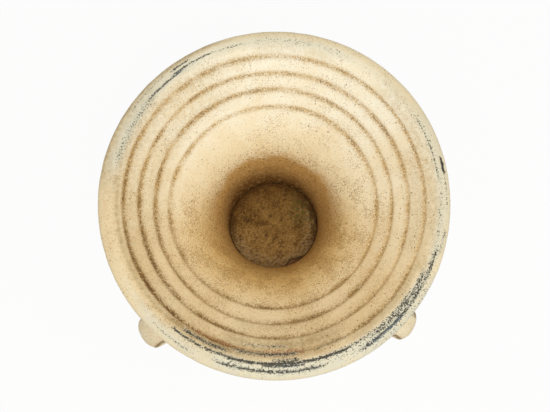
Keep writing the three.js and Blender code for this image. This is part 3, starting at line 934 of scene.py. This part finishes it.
# Nodes
class Graph:
    """Adds nodes to a tree and joins them; a socket or a plain value can be given for any input."""

    def __init__(self, tree, last=None):
        self.tree = tree
        self.last = last

    def feed(self, socket, value):
        if isinstance(value, bpy.types.NodeSocket):
            self.tree.links.new(value, socket)
        else:
            socket.default_value = value

    def give(self, **results):
        """Feeds the tree's last node, a shader or a group's output. An underscore stands for a space."""
        for label, value in results.items():
            self.feed(self.last.inputs[label.replace("_", " ")], value)
        return self.tree

    def add(self, kind, inputs=(), **settings):
        node = self.tree.nodes.new(kind)
        for name, value in settings.items():
            setattr(node, name, value)
        for name, value in dict(inputs).items():
            self.feed(node.inputs[name], value)
        return node

    def math(self, operation, a, b=0.0, clamp=False):
        return self.add("ShaderNodeMath", {0: a, 1: b}, operation=operation, use_clamp=clamp).outputs[0]

    def plus(self, a, b, clamp=False):
        return self.math("ADD", a, b, clamp)

    def minus(self, a, b):
        return self.math("SUBTRACT", a, b)

    def larger(self, a, b):
        return self.math("MAXIMUM", a, b)

    def times(self, *factors):
        product = factors[0]
        for factor in factors[1:]:
            product = self.math("MULTIPLY", product, factor)
        return product

    def mix(self, share, a, b, blend="MIX"):
        node = self.add("ShaderNodeMix", {0: share, 6: a, 7: b}, data_type="RGBA", blend_type=blend)
        return node.outputs[2]

    def lay(self, under, over, *shares):
        """One colour laid over another, as strongly as all the shares multiplied."""
        return self.mix(self.times(*shares), under, over)

    def span(self, value, low, high, to_low=0.0, to_high=1.0):
        return self.add("ShaderNodeMapRange", {
            "Value": value, "From Min": low, "From Max": high, "To Min": to_low, "To Max": to_high,
        }, interpolation_type="SMOOTHSTEP").outputs[0]

    def noise(self, place, scale, detail=4.0, roughness=0.55, distortion=0.0):
        return self.add("ShaderNodeTexNoise", {
            "Vector": place, "Scale": scale, "Detail": detail, "Roughness": roughness,
            "Distortion": distortion,
        }).outputs["Fac"]

    def cells(self, place, scale):
        """Scattered cells: the distance from the nearest one's middle, and its chance values."""
        cell = self.add("ShaderNodeTexVoronoi", {"Vector": place, "Scale": scale}).outputs
        return cell["Distance"], self.add("ShaderNodeSeparateColor", {0: cell["Color"]}).outputs

    def scaled(self, vector, scale):
        return self.add("ShaderNodeVectorMath", {0: vector, "Scale": scale}, operation="SCALE").outputs[0]

    def attribute(self, name):
        return self.add("ShaderNodeAttribute", attribute_name=name).outputs["Fac"]

    def group(self, tree, **inputs):
        """A node group put in place with its own values: its outputs by name."""
        return self.add("ShaderNodeGroup", inputs, node_tree=tree).outputs

    def grains(self, place, fineness, density):
        return self.group(SAND_BREAKUP, Place=place, Fineness=fineness, Density=density)["Mask"]

    def bump(self, height, strength, distance):
        inputs = {"Height": height, "Strength": strength, "Distance": distance}
        return self.add("ShaderNodeBump", inputs).outputs[0]


def colour(red, green, blue):
    """A colour written in display values from 0 to 255."""
    def linear(value):
        share = value / 255
        return share / 12.92 if share <= 0.04045 else ((share + 0.055) / 1.055) ** 2.4
    return linear(red), linear(green), linear(blue), 1.0


# Colours of the slip, its wash and its wear; some carry painted light and shade on the dish
# The dish's far side is painted lit and its near side painted in shade, as the light falls from the front
CREAM_FAR_PAINTED_LIGHT = colour(253, 246, 223)
CREAM_FAR_DEEP_PAINTED_LIGHT = colour(247, 232, 197)
CREAM_NEAR_PAINTED_SHADE = colour(237, 214, 170)
CREAM_NEAR_DEEP_PAINTED_SHADE = colour(224, 194, 144)
CREAM = colour(249, 236, 203)
CREAM_DEEP = colour(237, 214, 169)
LIP_PALE = colour(242, 232, 202)
LIP_ROLL_PAINTED_SHADE = colour(242, 222, 179)
LIP_GREY = colour(190, 190, 170)
BLEACHED = colour(224, 219, 196)
GRIME_AND_PAINTED_SHADE = colour(184, 161, 116)
WASH_TAN = colour(194, 156, 90)
WASH_BROWN = colour(142, 108, 54)
WASH_DARK = colour(100, 70, 36)
RUST = colour(150, 84, 48)
SAND_GOLD = colour(160, 120, 62)
IRON_SPECK = colour(94, 66, 34)
SCUFF_BLACK = colour(32, 31, 24)
SCUFF_BLUE = colour(84, 106, 122)
# Colours of the throat and the plug, with soil stains and painted shade
THROAT_TAN = colour(187, 140, 68)
SOIL_BROWN_AND_SHADE = colour(90, 54, 8)
WET_SOIL_AND_SHADE = colour(76, 47, 10)
GOLDEN_SHADE_TINT = colour(252, 240, 204)
CRUMB_DARK = colour(112, 72, 18)
CRUMB_PALE = colour(222, 186, 124)
EARTH_FAR = colour(146, 110, 54)
EARTH_FAR_DEEP = colour(92, 59, 12)
EARTH_NEAR = colour(170, 131, 72)
EARTH_NEAR_DEEP = colour(108, 73, 22)
EARTH_CRUST = colour(180, 150, 104)
EARTH_GRIT = colour(176, 144, 94)
EARTH_DARK = colour(66, 40, 12)
EARTH_PIT = colour(46, 28, 8)
EARTH_FLAKE = colour(136, 92, 54)
EARTH_CRACK = colour(38, 24, 10)
MOSS = colour(92, 94, 46)
# Colours of cork, felt and zinc
CORK_PALE = colour(196, 150, 98)
CORK_DEEP = colour(150, 104, 60)
CORK_DARK = colour(84, 52, 28)
FELT_PALE = colour(96, 78, 60)
FELT_DEEP = colour(62, 49, 37)
FELT_FIBRE = colour(124, 104, 82)
ZINC_PALE = colour(186, 187, 184)
ZINC_DEEP = colour(160, 162, 160)
ZINC_BLOOM = colour(146, 134, 116)
# How slip lies: size of its clouds and coarseness of its skin
SLIP_CLOUD = 0.022
SLIP_COARSE = 0.3
# Strength and depth of each finish's bumps
SLIP_BUMP = (0.5, 0.35 * MM)
EARTH_BUMP = (0.9, 1.1 * MM)
CORK_BUMP = (0.6, 0.3 * MM)
FELT_BUMP = (0.8, 0.4 * MM)
ZINC_BUMP = (0.25, 0.08 * MM)

SOCKET_KINDS = {"value": "NodeSocketFloat", "colour": "NodeSocketColor", "vector": "NodeSocketVector"}


def node_group(name, inputs, outputs):
    """An empty group with named sockets: its graph and its inputs.
    An input is given by its kind, or by the number that it starts at."""
    tree = bpy.data.node_groups.new(name, "ShaderNodeTree")
    for label, kind in inputs.items():
        plain = not isinstance(kind, str)
        socket_type = SOCKET_KINDS["value" if plain else kind]
        socket = tree.interface.new_socket(label, in_out="INPUT", socket_type=socket_type)
        if plain:
            socket.default_value = kind
    for label, kind in outputs.items():
        tree.interface.new_socket(label, in_out="OUTPUT", socket_type=SOCKET_KINDS[kind])
    graph = Graph(tree, tree.nodes.new("NodeGroupOutput"))
    return graph, graph.add("NodeGroupInput").outputs


def make_wheel_place():
    """Where a point lies on a turned piece, in mm: distance from the axis, height, right and back.
    Ring runs slowly round the axis and quickly across it, for marks that follow the turning."""
    outputs = dict.fromkeys(("Radius", "Height", "Right", "Back"), "value")
    outputs.update(Place="vector", Ring="vector")
    g, _ = node_group("wheel_place", {}, outputs)
    place = g.scaled(g.add("ShaderNodeTexCoord").outputs["Object"], 1 / MM)
    right, back, height = g.add("ShaderNodeSeparateXYZ", {0: place}).outputs
    radius = g.math("SQRT", g.plus(g.times(right, right), g.times(back, back)))
    safe = g.larger(radius, 0.001)
    ring = g.add("ShaderNodeCombineXYZ", {
        0: g.times(g.math("DIVIDE", right, safe), 30.0),
        1: g.times(g.math("DIVIDE", back, safe), 30.0),
        2: g.plus(radius, g.times(height, 0.7)),
    }).outputs[0]
    return g.give(Radius=radius, Height=height, Right=right, Back=back, Place=place, Ring=ring)


def make_slip_mottle():
    """Matt slip laid on by hand: slow clouds, small blotches and two sizes of sand between two colours."""
    g, source = node_group("slip_mottle", {
        "Place": "vector", "Pale": "colour", "Deep": "colour", "Cloud": 0.02,
    }, {"Colour": "colour", "Grain": "value"})
    place = source["Place"]
    clouds = g.noise(place, source["Cloud"], 3.0, 0.5, 0.6)
    blotches = g.noise(place, 0.16, 5.0, 0.62)
    grain = g.noise(place, 1.5, 3.0, 0.6)
    sand = g.noise(place, 0.5, 2.0, 0.6)
    share = g.plus(g.span(clouds, 0.34, 0.68, 0.0, 0.62), g.span(blotches, 0.4, 0.72, 0.0, 0.3))
    share = g.plus(share, g.span(grain, 0.42, 0.75, -0.04, 0.16))
    share = g.plus(share, g.span(sand, 0.36, 0.66, -0.16, 0.3), clamp=True)
    return g.give(Colour=g.mix(share, source["Pale"], source["Deep"]), Grain=grain)


def make_sand_speckle():
    """Specks of sand and iron: small uneven dots, more of them where the amount is higher."""
    g, source = node_group("sand_speckle", {
        "Place": "vector", "Fineness": 0.6, "Amount": 0.3,
    }, {"Specks": "value"})
    place = source["Place"]
    bent = g.add("ShaderNodeTexNoise", {"Vector": place, "Scale": 0.9, "Detail": 2.0}).outputs["Color"]
    place = g.add("ShaderNodeVectorMath", {0: place, 1: g.scaled(bent, 0.9)}, operation="ADD").outputs[0]
    distance, chances = g.cells(place, source["Fineness"])
    size = g.times(g.minus(source["Amount"], chances[0]), 0.9)
    reach = g.math("MINIMUM", g.larger(size, 0.0), 0.19)
    return g.give(Specks=g.span(g.minus(reach, distance), -0.03, 0.07))


def make_sand_breakup():
    """A mask broken into grains: nearly whole at a density of 1.3, loose grains at 0.6 and bare at 0."""
    g, source = node_group("sand_breakup", {
        "Place": "vector", "Fineness": 0.7, "Density": 0.5,
    }, {"Mask": "value"})
    grains = g.noise(source["Place"], source["Fineness"], 3.0, 0.65)
    level = g.minus(0.7, g.times(source["Density"], 0.25))
    return g.give(Mask=g.span(g.minus(grains, level), -0.02, 0.035))


def make_iron_specks():
    """Dark pin specks of iron, gathered in some places and few in others."""
    g, source = node_group("iron_specks", {
        "Place": "vector", "Colour": "colour", "Fewest": 0.05, "Most": 0.3,
    }, {"Colour": "colour"})
    place = source["Place"]
    gathered = g.span(g.noise(place, 0.03, 3.0), 0.38, 0.66, source["Fewest"], source["Most"])
    specks = g.group(SAND_SPECKLE, Place=place, Fineness=0.3, Amount=gathered)["Specks"]
    return g.give(Colour=g.lay(source["Colour"], IRON_SPECK, specks, 0.8))


def make_sandy_grit():
    """Brown grains of sand that show through the slip."""
    g, source = node_group("sandy_grit", {
        "Place": "vector", "Colour": "colour", "Density": 0.4,
    }, {"Colour": "colour"})
    grains = g.grains(source["Place"], 0.95, source["Density"])
    return g.give(Colour=g.lay(source["Colour"], SAND_GOLD, grains, 0.6))


def make_brown_wash():
    """A thin brown wash that stays in the hollows: soft edged, sandy, and darker in grains at its middle."""
    g, source = node_group("brown_wash", {
        "Place": "vector", "Colour": "colour", "Wash": "colour", "Dark": "colour",
        "Hollow": 0.0, "Strength": 0.8,
    }, {"Colour": "colour", "Share": "value"})
    place = source["Place"]
    hollow = g.times(source["Hollow"], g.span(g.noise(place, 0.045, 4.0, 0.6), 0.32, 0.66, 0.55, 1.2))
    sand = g.span(g.noise(place, 0.7, 3.0, 0.7), 0.37, 0.6, 0.32, 1.5)
    share = g.times(g.math("MULTIPLY", hollow, sand, clamp=True), source["Strength"])
    washed = g.lay(source["Colour"], source["Wash"], share)
    grains = g.grains(place, 0.75, g.times(hollow, 0.82))
    return g.give(Colour=g.lay(washed, source["Dark"], grains, source["Hollow"], 0.68), Share=share)


def make_slip_sheen():
    """How rough slip is: dull in clouds, and duller where it is washed."""
    g, source = node_group("slip_sheen", {"Place": "vector", "Wash": 0.0}, {"Roughness": "value"})
    dull = g.span(g.noise(source["Place"], 0.3, 3.0), 0.3, 0.7, 0.5, 0.66)
    return g.give(Roughness=g.plus(dull, g.times(source["Wash"], 0.2)))


def make_pitted_skin():
    """Height of a sandy fired skin: fine grain, shallow lumps and scattered pinholes."""
    g, source = node_group("pitted_skin", {"Place": "vector", "Coarse": 0.35}, {"Height": "value"})
    place = source["Place"]
    fine = g.noise(place, 1.1, 5.0, 0.65)
    lumpy = g.noise(place, source["Coarse"], 3.0, 0.5)
    distance, chances = g.cells(place, 0.42)
    hole = g.times(g.span(distance, 0.05, 0.17, 1.0, 0.0), g.span(chances[1], 0.72, 0.8))
    return g.give(Height=g.minus(g.plus(g.times(fine, 0.75), g.times(lumpy, 0.8)), g.times(hole, 0.8)))


WHEEL_PLACE = make_wheel_place()
SLIP_MOTTLE = make_slip_mottle()
SAND_SPECKLE = make_sand_speckle()
SAND_BREAKUP = make_sand_breakup()
IRON_SPECKS = make_iron_specks()
SANDY_GRIT = make_sandy_grit()
BROWN_WASH = make_brown_wash()
SLIP_SHEEN = make_slip_sheen()
PITTED_SKIN = make_pitted_skin()


# Materials
def make_material(name, **plain):
    """A material with its shader's plain values set: the material, its graph and where a point of it lies."""
    material = bpy.data.materials.new(name)
    material.use_nodes = True
    g = Graph(material.node_tree, material.node_tree.nodes["Principled BSDF"])
    g.give(**plain)
    return material, g, g.group(WHEEL_PLACE)


def throat_soil_and_shade(g, where, clay):
    """Earth that stains the throat's wall, and painted shade: a golden shade on the flare, brown that darkens
    down into the throat and at its foot as soil stain and painted shade of the deep throat, and tan laid
    thinner in front as painted light on the near wall; dark and sharp edged at the back, wide and sandy in
    front.
    """
    place = where["Place"]
    back = where["Back"]
    radius = where["Radius"]
    inside = g.attribute("inside")
    cloud = g.noise(place, 0.06)

    def across_throat(far, near):
        return g.span(back, 40.0, -44.0, far, near)

    def across_front(far, near):
        return g.span(back, 20.0, -40.0, far, near)

    sandy = g.span(radius, 112.0, 56.0, 0.42, g.span(back, 50.0, -40.0, 0.5, 0.92))
    upper_left = g.span(g.times(g.minus(back, where["Right"]), 0.7), 50.0, 80.0)
    bare = g.times(upper_left, g.span(radius, 100.0, 86.0, 0.0, 0.6))
    sandy = g.times(sandy, g.span(cloud, 0.4, 0.6, 0.6, 1.2), g.minus(1.0, bare), inside)
    outside = g.times(g.minus(1.0, inside), g.span(cloud, 0.4, 0.6, 0.26, 0.5))
    clay = g.group(SANDY_GRIT, Place=place, Colour=clay, Density=g.plus(sandy, outside))["Colour"]
    # Painted shade: the flare into the throat gets a golden shade, most on the near side
    golden_shade = g.times(g.span(radius, 94.0, 54.0, 0.0, across_front(0.36, 1.0)), inside)
    clay = g.mix(golden_shade, clay, GOLDEN_SHADE_TINT, "MULTIPLY")

    torn = g.times(g.minus(g.noise(place, 0.32, 4.0, 0.7), 0.5), g.span(back, 40.0, -30.0, 9.0, 44.0))
    ragged = g.plus(g.times(cloud, 26.0), torn)
    level = g.plus(where["Height"], g.minus(ragged, 13.0))
    # The tan is laid thinner in front: painted light on the near wall
    tan = g.span(level, across_throat(63.0, 100.0), across_throat(50.0, 26.0))
    clay = g.lay(clay, THROAT_TAN, tan, across_front(0.87, 0.72), inside)
    level = g.plus(level, g.times(where["Right"], 0.2))
    # Brown darkening down into the throat and at its foot: part soil stain, part painted shade of the deep
    # throat
    dark = g.span(level, across_throat(46.0, 7.0), across_throat(6.0, -37.0))
    clay = g.lay(clay, SOIL_BROWN_AND_SHADE, dark, inside, 0.92)
    foot = g.span(g.plus(where["Height"], torn), 14.0, 0.0, 0.0, 0.7)
    clay = g.lay(clay, WET_SOIL_AND_SHADE, foot, inside)
    crusted = g.times(g.span(radius, across_front(74.0, 98.0), 46.0, 0.0, 0.57), inside)
    clay = g.lay(clay, CRUMB_DARK, g.grains(place, 0.62, crusted), 0.62)
    return g.lay(clay, CRUMB_PALE, g.grains(where["Ring"], 0.5, crusted), 0.34)


def lip_wear_and_painted_light(g, where, clay):
    """The lip's crest paled, except on the left, as rubbed wear and painted highlight; its outer roll warmer
    as painted shade; and grime with painted shade along the crest and the outer edge.
    """
    place = where["Place"]
    radius = where["Radius"]
    height = where["Height"]
    leftward = g.plus(g.times(where["Right"], -0.94), g.times(where["Back"], 0.34))
    patchy = g.span(g.noise(place, 0.03, 3.0), 0.3, 0.6, 0.55, 0.95)
    crest = g.times(g.span(radius, 134.0, 139.0), g.span(height, 100.0, 110.0))
    # Painted highlight: the crest is paled, partly as rubbed wear, except on the left away from the light
    clay = g.lay(clay, LIP_PALE, crest, g.span(leftward, 128.0, 66.0), patchy)
    # Painted shade: the outer roll is darker and warmer where it turns from the light
    clay = g.lay(clay, LIP_ROLL_PAINTED_SHADE, g.span(radius, 140.5, 145.0), g.span(height, 80.0, 96.0), 0.7)
    broken = g.span(g.noise(place, 0.25, 4.0, 0.6), 0.3, 0.65, 0.35, 1.0)
    # Grime with painted shade: darker arcs along the crest, and on the outer edge at the back left where the
    # roll turns from the light
    return g.lay(clay, GRIME_AND_PAINTED_SHADE, g.attribute("grimed_and_shaded"), broken)


def scuffs(g, where, clay):
    """The clay with black and blue rubbing on its lip, in dots and streaks, and the scuffs' mask."""
    place = where["Place"]
    rubbed = g.attribute("rubbed")
    clay = g.lay(clay, BLEACHED, g.attribute("bleached"), g.span(g.noise(place, 0.12), 0.3, 0.55, 0.6, 1.0))
    clay = g.lay(clay, LIP_GREY, g.span(rubbed, 0.2, 0.9), 0.4)
    streaks = g.times(g.grains(where["Ring"], 0.8, rubbed), g.span(rubbed, 0.55, 1.05))
    scuff = g.larger(g.grains(place, 0.8, rubbed), streaks)
    blue = g.times(g.attribute("blued"), g.span(g.noise(place, 0.3, 3.0), 0.35, 0.6))
    return g.lay(clay, g.mix(blue, SCUFF_BLACK, SCUFF_BLUE), scuff, 0.94), scuff


def dish_material():
    material, g, where = make_material("cream_dish_slip", Specular_IOR_Level=0.22)
    place = where["Place"]
    right = where["Right"]
    back = where["Back"]
    # Painted light and shade: the dish's far side paler and its near side darker, tilted a little to the
    # right, as the light falls on it
    near = g.span(g.plus(back, g.times(right, 0.12)), 128.0, -76.0)
    pale = g.mix(near, CREAM_FAR_PAINTED_LIGHT, CREAM_NEAR_PAINTED_SHADE)
    deep = g.mix(near, CREAM_FAR_DEEP_PAINTED_LIGHT, CREAM_NEAR_DEEP_PAINTED_SHADE)
    clay = g.group(SLIP_MOTTLE, Place=place, Pale=pale, Deep=deep, Cloud=SLIP_CLOUD)["Colour"]
    clay = lip_wear_and_painted_light(g, where, clay)
    clay = g.group(IRON_SPECKS, Place=place, Colour=clay, Fewest=0.06, Most=0.46)["Colour"]
    gathered = g.span(g.noise(place, 0.05, 3.0), 0.42, 0.66, 0.2, 0.75)
    sprinkled = g.times(g.span(g.minus(right, back), 40.0, 150.0), gathered)
    specks = g.group(SAND_SPECKLE, Place=place, Fineness=0.32, Amount=sprinkled)["Specks"]
    clay = throat_soil_and_shade(g, where, g.lay(clay, IRON_SPECK, specks))

    # Towards the near left the groove wash is browner and laid stronger: painted shade in the grooves on the
    # side away from the light, over their real brown wash
    nearward_shade = g.plus(g.times(right, -0.35), g.times(back, -0.94))
    wash = g.mix(g.span(nearward_shade, -14.0, 90.0), WASH_TAN, WASH_BROWN)
    washed = g.group(BROWN_WASH, Place=place, Colour=clay, Wash=wash, Dark=WASH_DARK,
                     Hollow=g.attribute("stained"), Strength=g.span(nearward_shade, -110.0, 40.0, 0.74, 0.94))
    clay = g.lay(washed["Colour"], RUST, g.grains(place, 0.5, g.attribute("rusted")), 0.5)
    clay, scuff = scuffs(g, where, clay)

    sheen = g.group(SLIP_SHEEN, Place=place, Wash=washed["Share"])["Roughness"]
    skin = g.group(PITTED_SKIN, Place=place, Coarse=SLIP_COARSE)["Height"]
    skin = g.minus(skin, g.times(scuff, 0.35))
    g.give(Base_Color=clay, Roughness=sheen, Normal=g.bump(skin, *SLIP_BUMP))
    return material


def clay_material(name, fewest, most):
    """The same slip on the stem, hub and legs, with wash in their joints and creases."""
    material, g, where = make_material(name, Specular_IOR_Level=0.35)
    place = where["Place"]
    clay = g.group(SLIP_MOTTLE, Place=place, Pale=CREAM, Deep=CREAM_DEEP, Cloud=SLIP_CLOUD)["Colour"]
    clay = g.group(IRON_SPECKS, Place=place, Colour=clay, Fewest=fewest, Most=most)["Colour"]
    sandy = g.span(g.noise(place, 0.06), 0.4, 0.6, 0.26, 0.5)
    clay = g.group(SANDY_GRIT, Place=place, Colour=clay, Density=sandy)["Colour"]
    low = g.span(where["Height"], FLOOR / MM + 17, FLOOR / MM - 3)
    clay = g.lay(clay, WASH_BROWN, low, g.span(g.noise(place, 0.05), 0.35, 0.7), 0.5)
    washed = g.group(BROWN_WASH, Place=place, Colour=clay, Wash=WASH_BROWN, Dark=WASH_DARK,
                     Hollow=g.attribute("stained"), Strength=0.9)
    edge = g.span(g.add("ShaderNodeNewGeometry").outputs["Pointiness"], 0.53, 0.58)
    clay = g.lay(washed["Colour"], LIP_PALE, edge, g.span(g.noise(place, 0.2), 0.4, 0.6), 0.5)
    sheen = g.group(SLIP_SHEEN, Place=place, Wash=washed["Share"])["Roughness"]
    skin = g.group(PITTED_SKIN, Place=place, Coarse=SLIP_COARSE)["Height"]
    g.give(Base_Color=clay, Roughness=sheen, Normal=g.bump(skin, *SLIP_BUMP))
    return material


def earth_material():
    material, g, where = make_material("earth_crust", Specular_IOR_Level=0.2)
    place = where["Place"]
    right = where["Right"]
    back = where["Back"]
    radius = where["Radius"]
    near = g.span(back, 16.0, -26.0)
    pale = g.mix(near, EARTH_FAR, EARTH_NEAR)
    deep = g.mix(near, EARTH_FAR_DEEP, EARTH_NEAR_DEEP)
    crust = g.group(SLIP_MOTTLE, Place=place, Pale=pale, Deep=deep, Cloud=0.07)
    bright = g.larger(near, g.span(right, 14.0, 30.0, 0.0, 0.8))
    edge = g.times(g.span(radius, 22.0, 34.0), bright, 1.05)
    soil = g.lay(crust["Colour"], EARTH_CRUST, g.grains(place, 0.45, edge), 0.66)
    soil = g.lay(soil, EARTH_DARK, g.grains(place, 0.42, 0.62), 0.42)
    soil = g.lay(soil, EARTH_PIT, g.attribute("pitted"), 0.6)
    soil = g.lay(soil, EARTH_GRIT, g.grains(where["Ring"], 0.7, 0.5), 0.45)
    upper_right = g.times(g.span(right, 10.0, 26.0), g.span(back, -6.0, 12.0))
    soil = g.lay(soil, MOSS, upper_right, g.span(g.noise(place, 0.3), 0.42, 0.58), 0.75)
    soil = g.lay(soil, EARTH_FLAKE, g.attribute("flaked"), 0.7)
    # Painted shade: the plug darkens towards its edge where the wall meets it, in a wide band at the back and
    # a narrow one in front
    uneven = g.minus(g.noise(place, 0.12), 0.5)
    rim = g.span(g.plus(radius, g.times(uneven, 12.0)), 16.0, 39.0)
    soil = g.lay(soil, SOIL_BROWN_AND_SHADE, rim, g.span(back, -4.0, 26.0, 0.0, 0.6))
    rim = g.span(g.plus(radius, g.times(uneven, 18.0)), 33.0, 38.0)
    soil = g.lay(soil, WET_SOIL_AND_SHADE, rim, g.span(back, -30.0, 4.0, 0.0, 0.8))
    soil = g.lay(soil, EARTH_CRACK, g.attribute("cracked"), 0.85)
    dull = g.span(crust["Grain"], 0.3, 0.7, 0.8, 0.98)
    skin = g.group(PITTED_SKIN, Place=place, Coarse=0.4)["Height"]
    skin = g.plus(skin, g.noise(place, 0.5, 5.0, 0.7, 0.6))
    g.give(Base_Color=soil, Roughness=dull, Normal=g.bump(skin, *EARTH_BUMP))
    return material


def cork_material():
    material, g, where = make_material("pressed_cork", Specular_IOR_Level=0.2)
    place = where["Place"]
    distance, chances = g.cells(place, 0.55)
    dark = g.group(SAND_SPECKLE, Place=place, Fineness=0.7, Amount=0.4)["Specks"]
    cork = g.lay(g.mix(chances[0], CORK_PALE, CORK_DEEP), CORK_DARK, dark, 0.8)
    dull = g.span(chances[0], 0.0, 1.0, 0.78, 0.95)
    g.give(Base_Color=cork, Roughness=dull, Normal=g.bump(g.minus(distance, dark), *CORK_BUMP))
    return material


def felt_material():
    material, g, where = make_material("pressed_felt", Specular_IOR_Level=0.1)
    place = where["Place"]
    fibres = g.noise(place, 2.6, 5.0, 0.75, 2.5)
    felt = g.group(SLIP_MOTTLE, Place=place, Pale=FELT_PALE, Deep=FELT_DEEP, Cloud=0.3)["Colour"]
    felt = g.lay(felt, FELT_FIBRE, g.span(fibres, 0.5, 0.7))
    dull = g.span(fibres, 0.3, 0.7, 0.9, 1.0)
    g.give(Base_Color=felt, Roughness=dull, Normal=g.bump(fibres, *FELT_BUMP))
    return material


def steel_material():
    material, g, where = make_material("zinc_plated_steel", Metallic=1.0)
    _, chances = g.cells(where["Place"], 0.8)
    clouds = g.noise(where["Place"], 0.3, 5.0, 0.6)
    bloom = g.span(clouds, 0.52, 0.66)
    zinc = g.lay(g.mix(chances[1], ZINC_PALE, ZINC_DEEP), ZINC_BLOOM, bloom, 0.6)
    dull = g.plus(g.span(clouds, 0.3, 0.7, 0.26, 0.42), g.times(bloom, 0.2))
    scratch = g.noise(where["Ring"], 1.6, 4.0, 0.7)
    g.give(Base_Color=zinc, Roughness=dull, Normal=g.bump(scratch, *ZINC_BUMP))
    return material


def dress(pieces, material):
    for piece in pieces:
        piece.data.materials.clear()
        piece.data.materials.append(material)


def build_stand():
    steel = [make_rod()]
    for end in ("top", "bottom"):
        steel += [make_nut(end), make_washer(end)]
    steel += [node for name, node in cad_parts.items() if name.startswith("leg_dowel")]
    dress([make_dish()], dish_material())
    dress([make_plug()], earth_material())
    dress([make_stem(), make_hub()], clay_material("cream_turned_slip", 0.06, 0.34))
    legs = [make_leg(side, angle) for side, angle in LEG_ANGLES.items()]
    dress(legs, clay_material("cream_rolled_slip", 0.04, 0.3))
    dress([make_cork()], cork_material())
    dress([make_pad(side, angle) for side, angle in LEG_ANGLES.items()], felt_material())
    dress(steel, steel_material())


# Studio
WHITE = (1, 1, 1, 1)
FLOOR_SPAN = 8.0
PAPER_GREY = (0.86, 0.86, 0.86, 1)
PAPER_WHITENESS = 0.93
SKY_COLOUR = (1.0, 0.985, 0.96, 1)
SKY_STRENGTH = 0.44
KEY_SIZE = (1.3, 0.9)
KEY_POWER = 20.0
KEY_COLOUR = (1.0, 0.985, 0.955)
KEY_ELEVATION = math.radians(70)
KEY_RIGHT = 0.12
KEY_DISTANCE = 1.7
CAMERA_DISTANCE = 1.08
CAMERA_ELEVATION = math.radians(78.25)
CAMERA_TURN = math.radians(-2.2)
SENSOR_WIDTH = 36.0
FOCAL_PIXELS = 1295.0
IMAGE_WIDTH = 550
AIM_RIGHT = 1.4 * MM
AIM_DOWN = 5.4 * MM


def bare_graph(owner):
    """An empty graph for a material or a world."""
    owner.use_nodes = True
    owner.node_tree.nodes.clear()
    return Graph(owner.node_tree)


def white_to_the_eye(g, plain, white, share=1.0):
    """A plain shader for light that only bounces, and a white one for what is seen, also in a gloss."""
    path = g.add("ShaderNodeLightPath").outputs
    seen = g.larger(g.larger(path["Is Camera Ray"], path["Is Glossy Ray"]), path["Is Transmission Ray"])
    both = g.add("ShaderNodeMixShader", {0: g.times(seen, share), 1: plain.outputs[0], 2: white.outputs[0]})
    return both.outputs[0]


def make_floor():
    half = FLOOR_SPAN / 2
    level = FLOOR - GAP
    mesh = bpy.data.meshes.new("studio_floor")
    corners = [(-half, -half, level), (half, -half, level), (half, half, level), (-half, half, level)]
    mesh.from_pydata(corners, [], [(0, 1, 2, 3)])
    floor = put("studio_floor", mesh)
    material = bpy.data.materials.new("white_paper")
    g = bare_graph(material)
    paper = g.add("ShaderNodeBsdfDiffuse", {"Color": PAPER_GREY})
    white = g.add("ShaderNodeEmission", {"Color": WHITE, "Strength": 1.0})
    g.add("ShaderNodeOutputMaterial", {0: white_to_the_eye(g, paper, white, PAPER_WHITENESS)})
    mesh.materials.append(material)


def make_world():
    world = bpy.data.worlds.new("studio")
    bpy.context.scene.world = world
    g = bare_graph(world)
    soft = g.add("ShaderNodeBackground", {"Color": SKY_COLOUR, "Strength": SKY_STRENGTH})
    white = g.add("ShaderNodeBackground", {"Color": WHITE, "Strength": 1.0})
    g.add("ShaderNodeOutputWorld", {0: white_to_the_eye(g, soft, white)})


def turn_to(thing, facing):
    thing.rotation_mode = "QUATERNION"
    thing.rotation_quaternion = facing


def make_key_light():
    lamp = bpy.data.lights.new("key_softbox", "AREA")
    lamp.shape = "RECTANGLE"
    lamp.size, lamp.size_y = KEY_SIZE
    lamp.energy = KEY_POWER
    lamp.color = KEY_COLOUR
    key = put("key_softbox", lamp)
    key.visible_camera = False
    towards = Vector((KEY_RIGHT, -math.cos(KEY_ELEVATION), math.sin(KEY_ELEVATION))).normalized()
    key.location = Vector((0, 0, CREST)) + towards * KEY_DISTANCE
    turn_to(key, (-towards).to_track_quat("-Z", "Y"))


def make_camera():
    lens = bpy.data.cameras.new("photo_view")
    lens.sensor_width = SENSOR_WIDTH
    lens.lens = SENSOR_WIDTH * FOCAL_PIXELS / IMAGE_WIDTH
    camera = put("photo_view", lens)
    flat = math.cos(CAMERA_ELEVATION)
    back = Vector((flat * math.sin(CAMERA_TURN), -flat * math.cos(CAMERA_TURN), math.sin(CAMERA_ELEVATION)))
    facing = (-back).to_track_quat("-Z", "Y")
    aim = Vector((0, 0, CREST)) + facing @ Vector((AIM_RIGHT, -AIM_DOWN, 0))
    camera.location = aim + back * CAMERA_DISTANCE
    turn_to(camera, facing)
    bpy.context.scene.camera = camera


build_stand()
make_floor()
make_world()
make_key_light()
make_camera()
bpy.context.scene.view_settings.view_transform = "Standard"
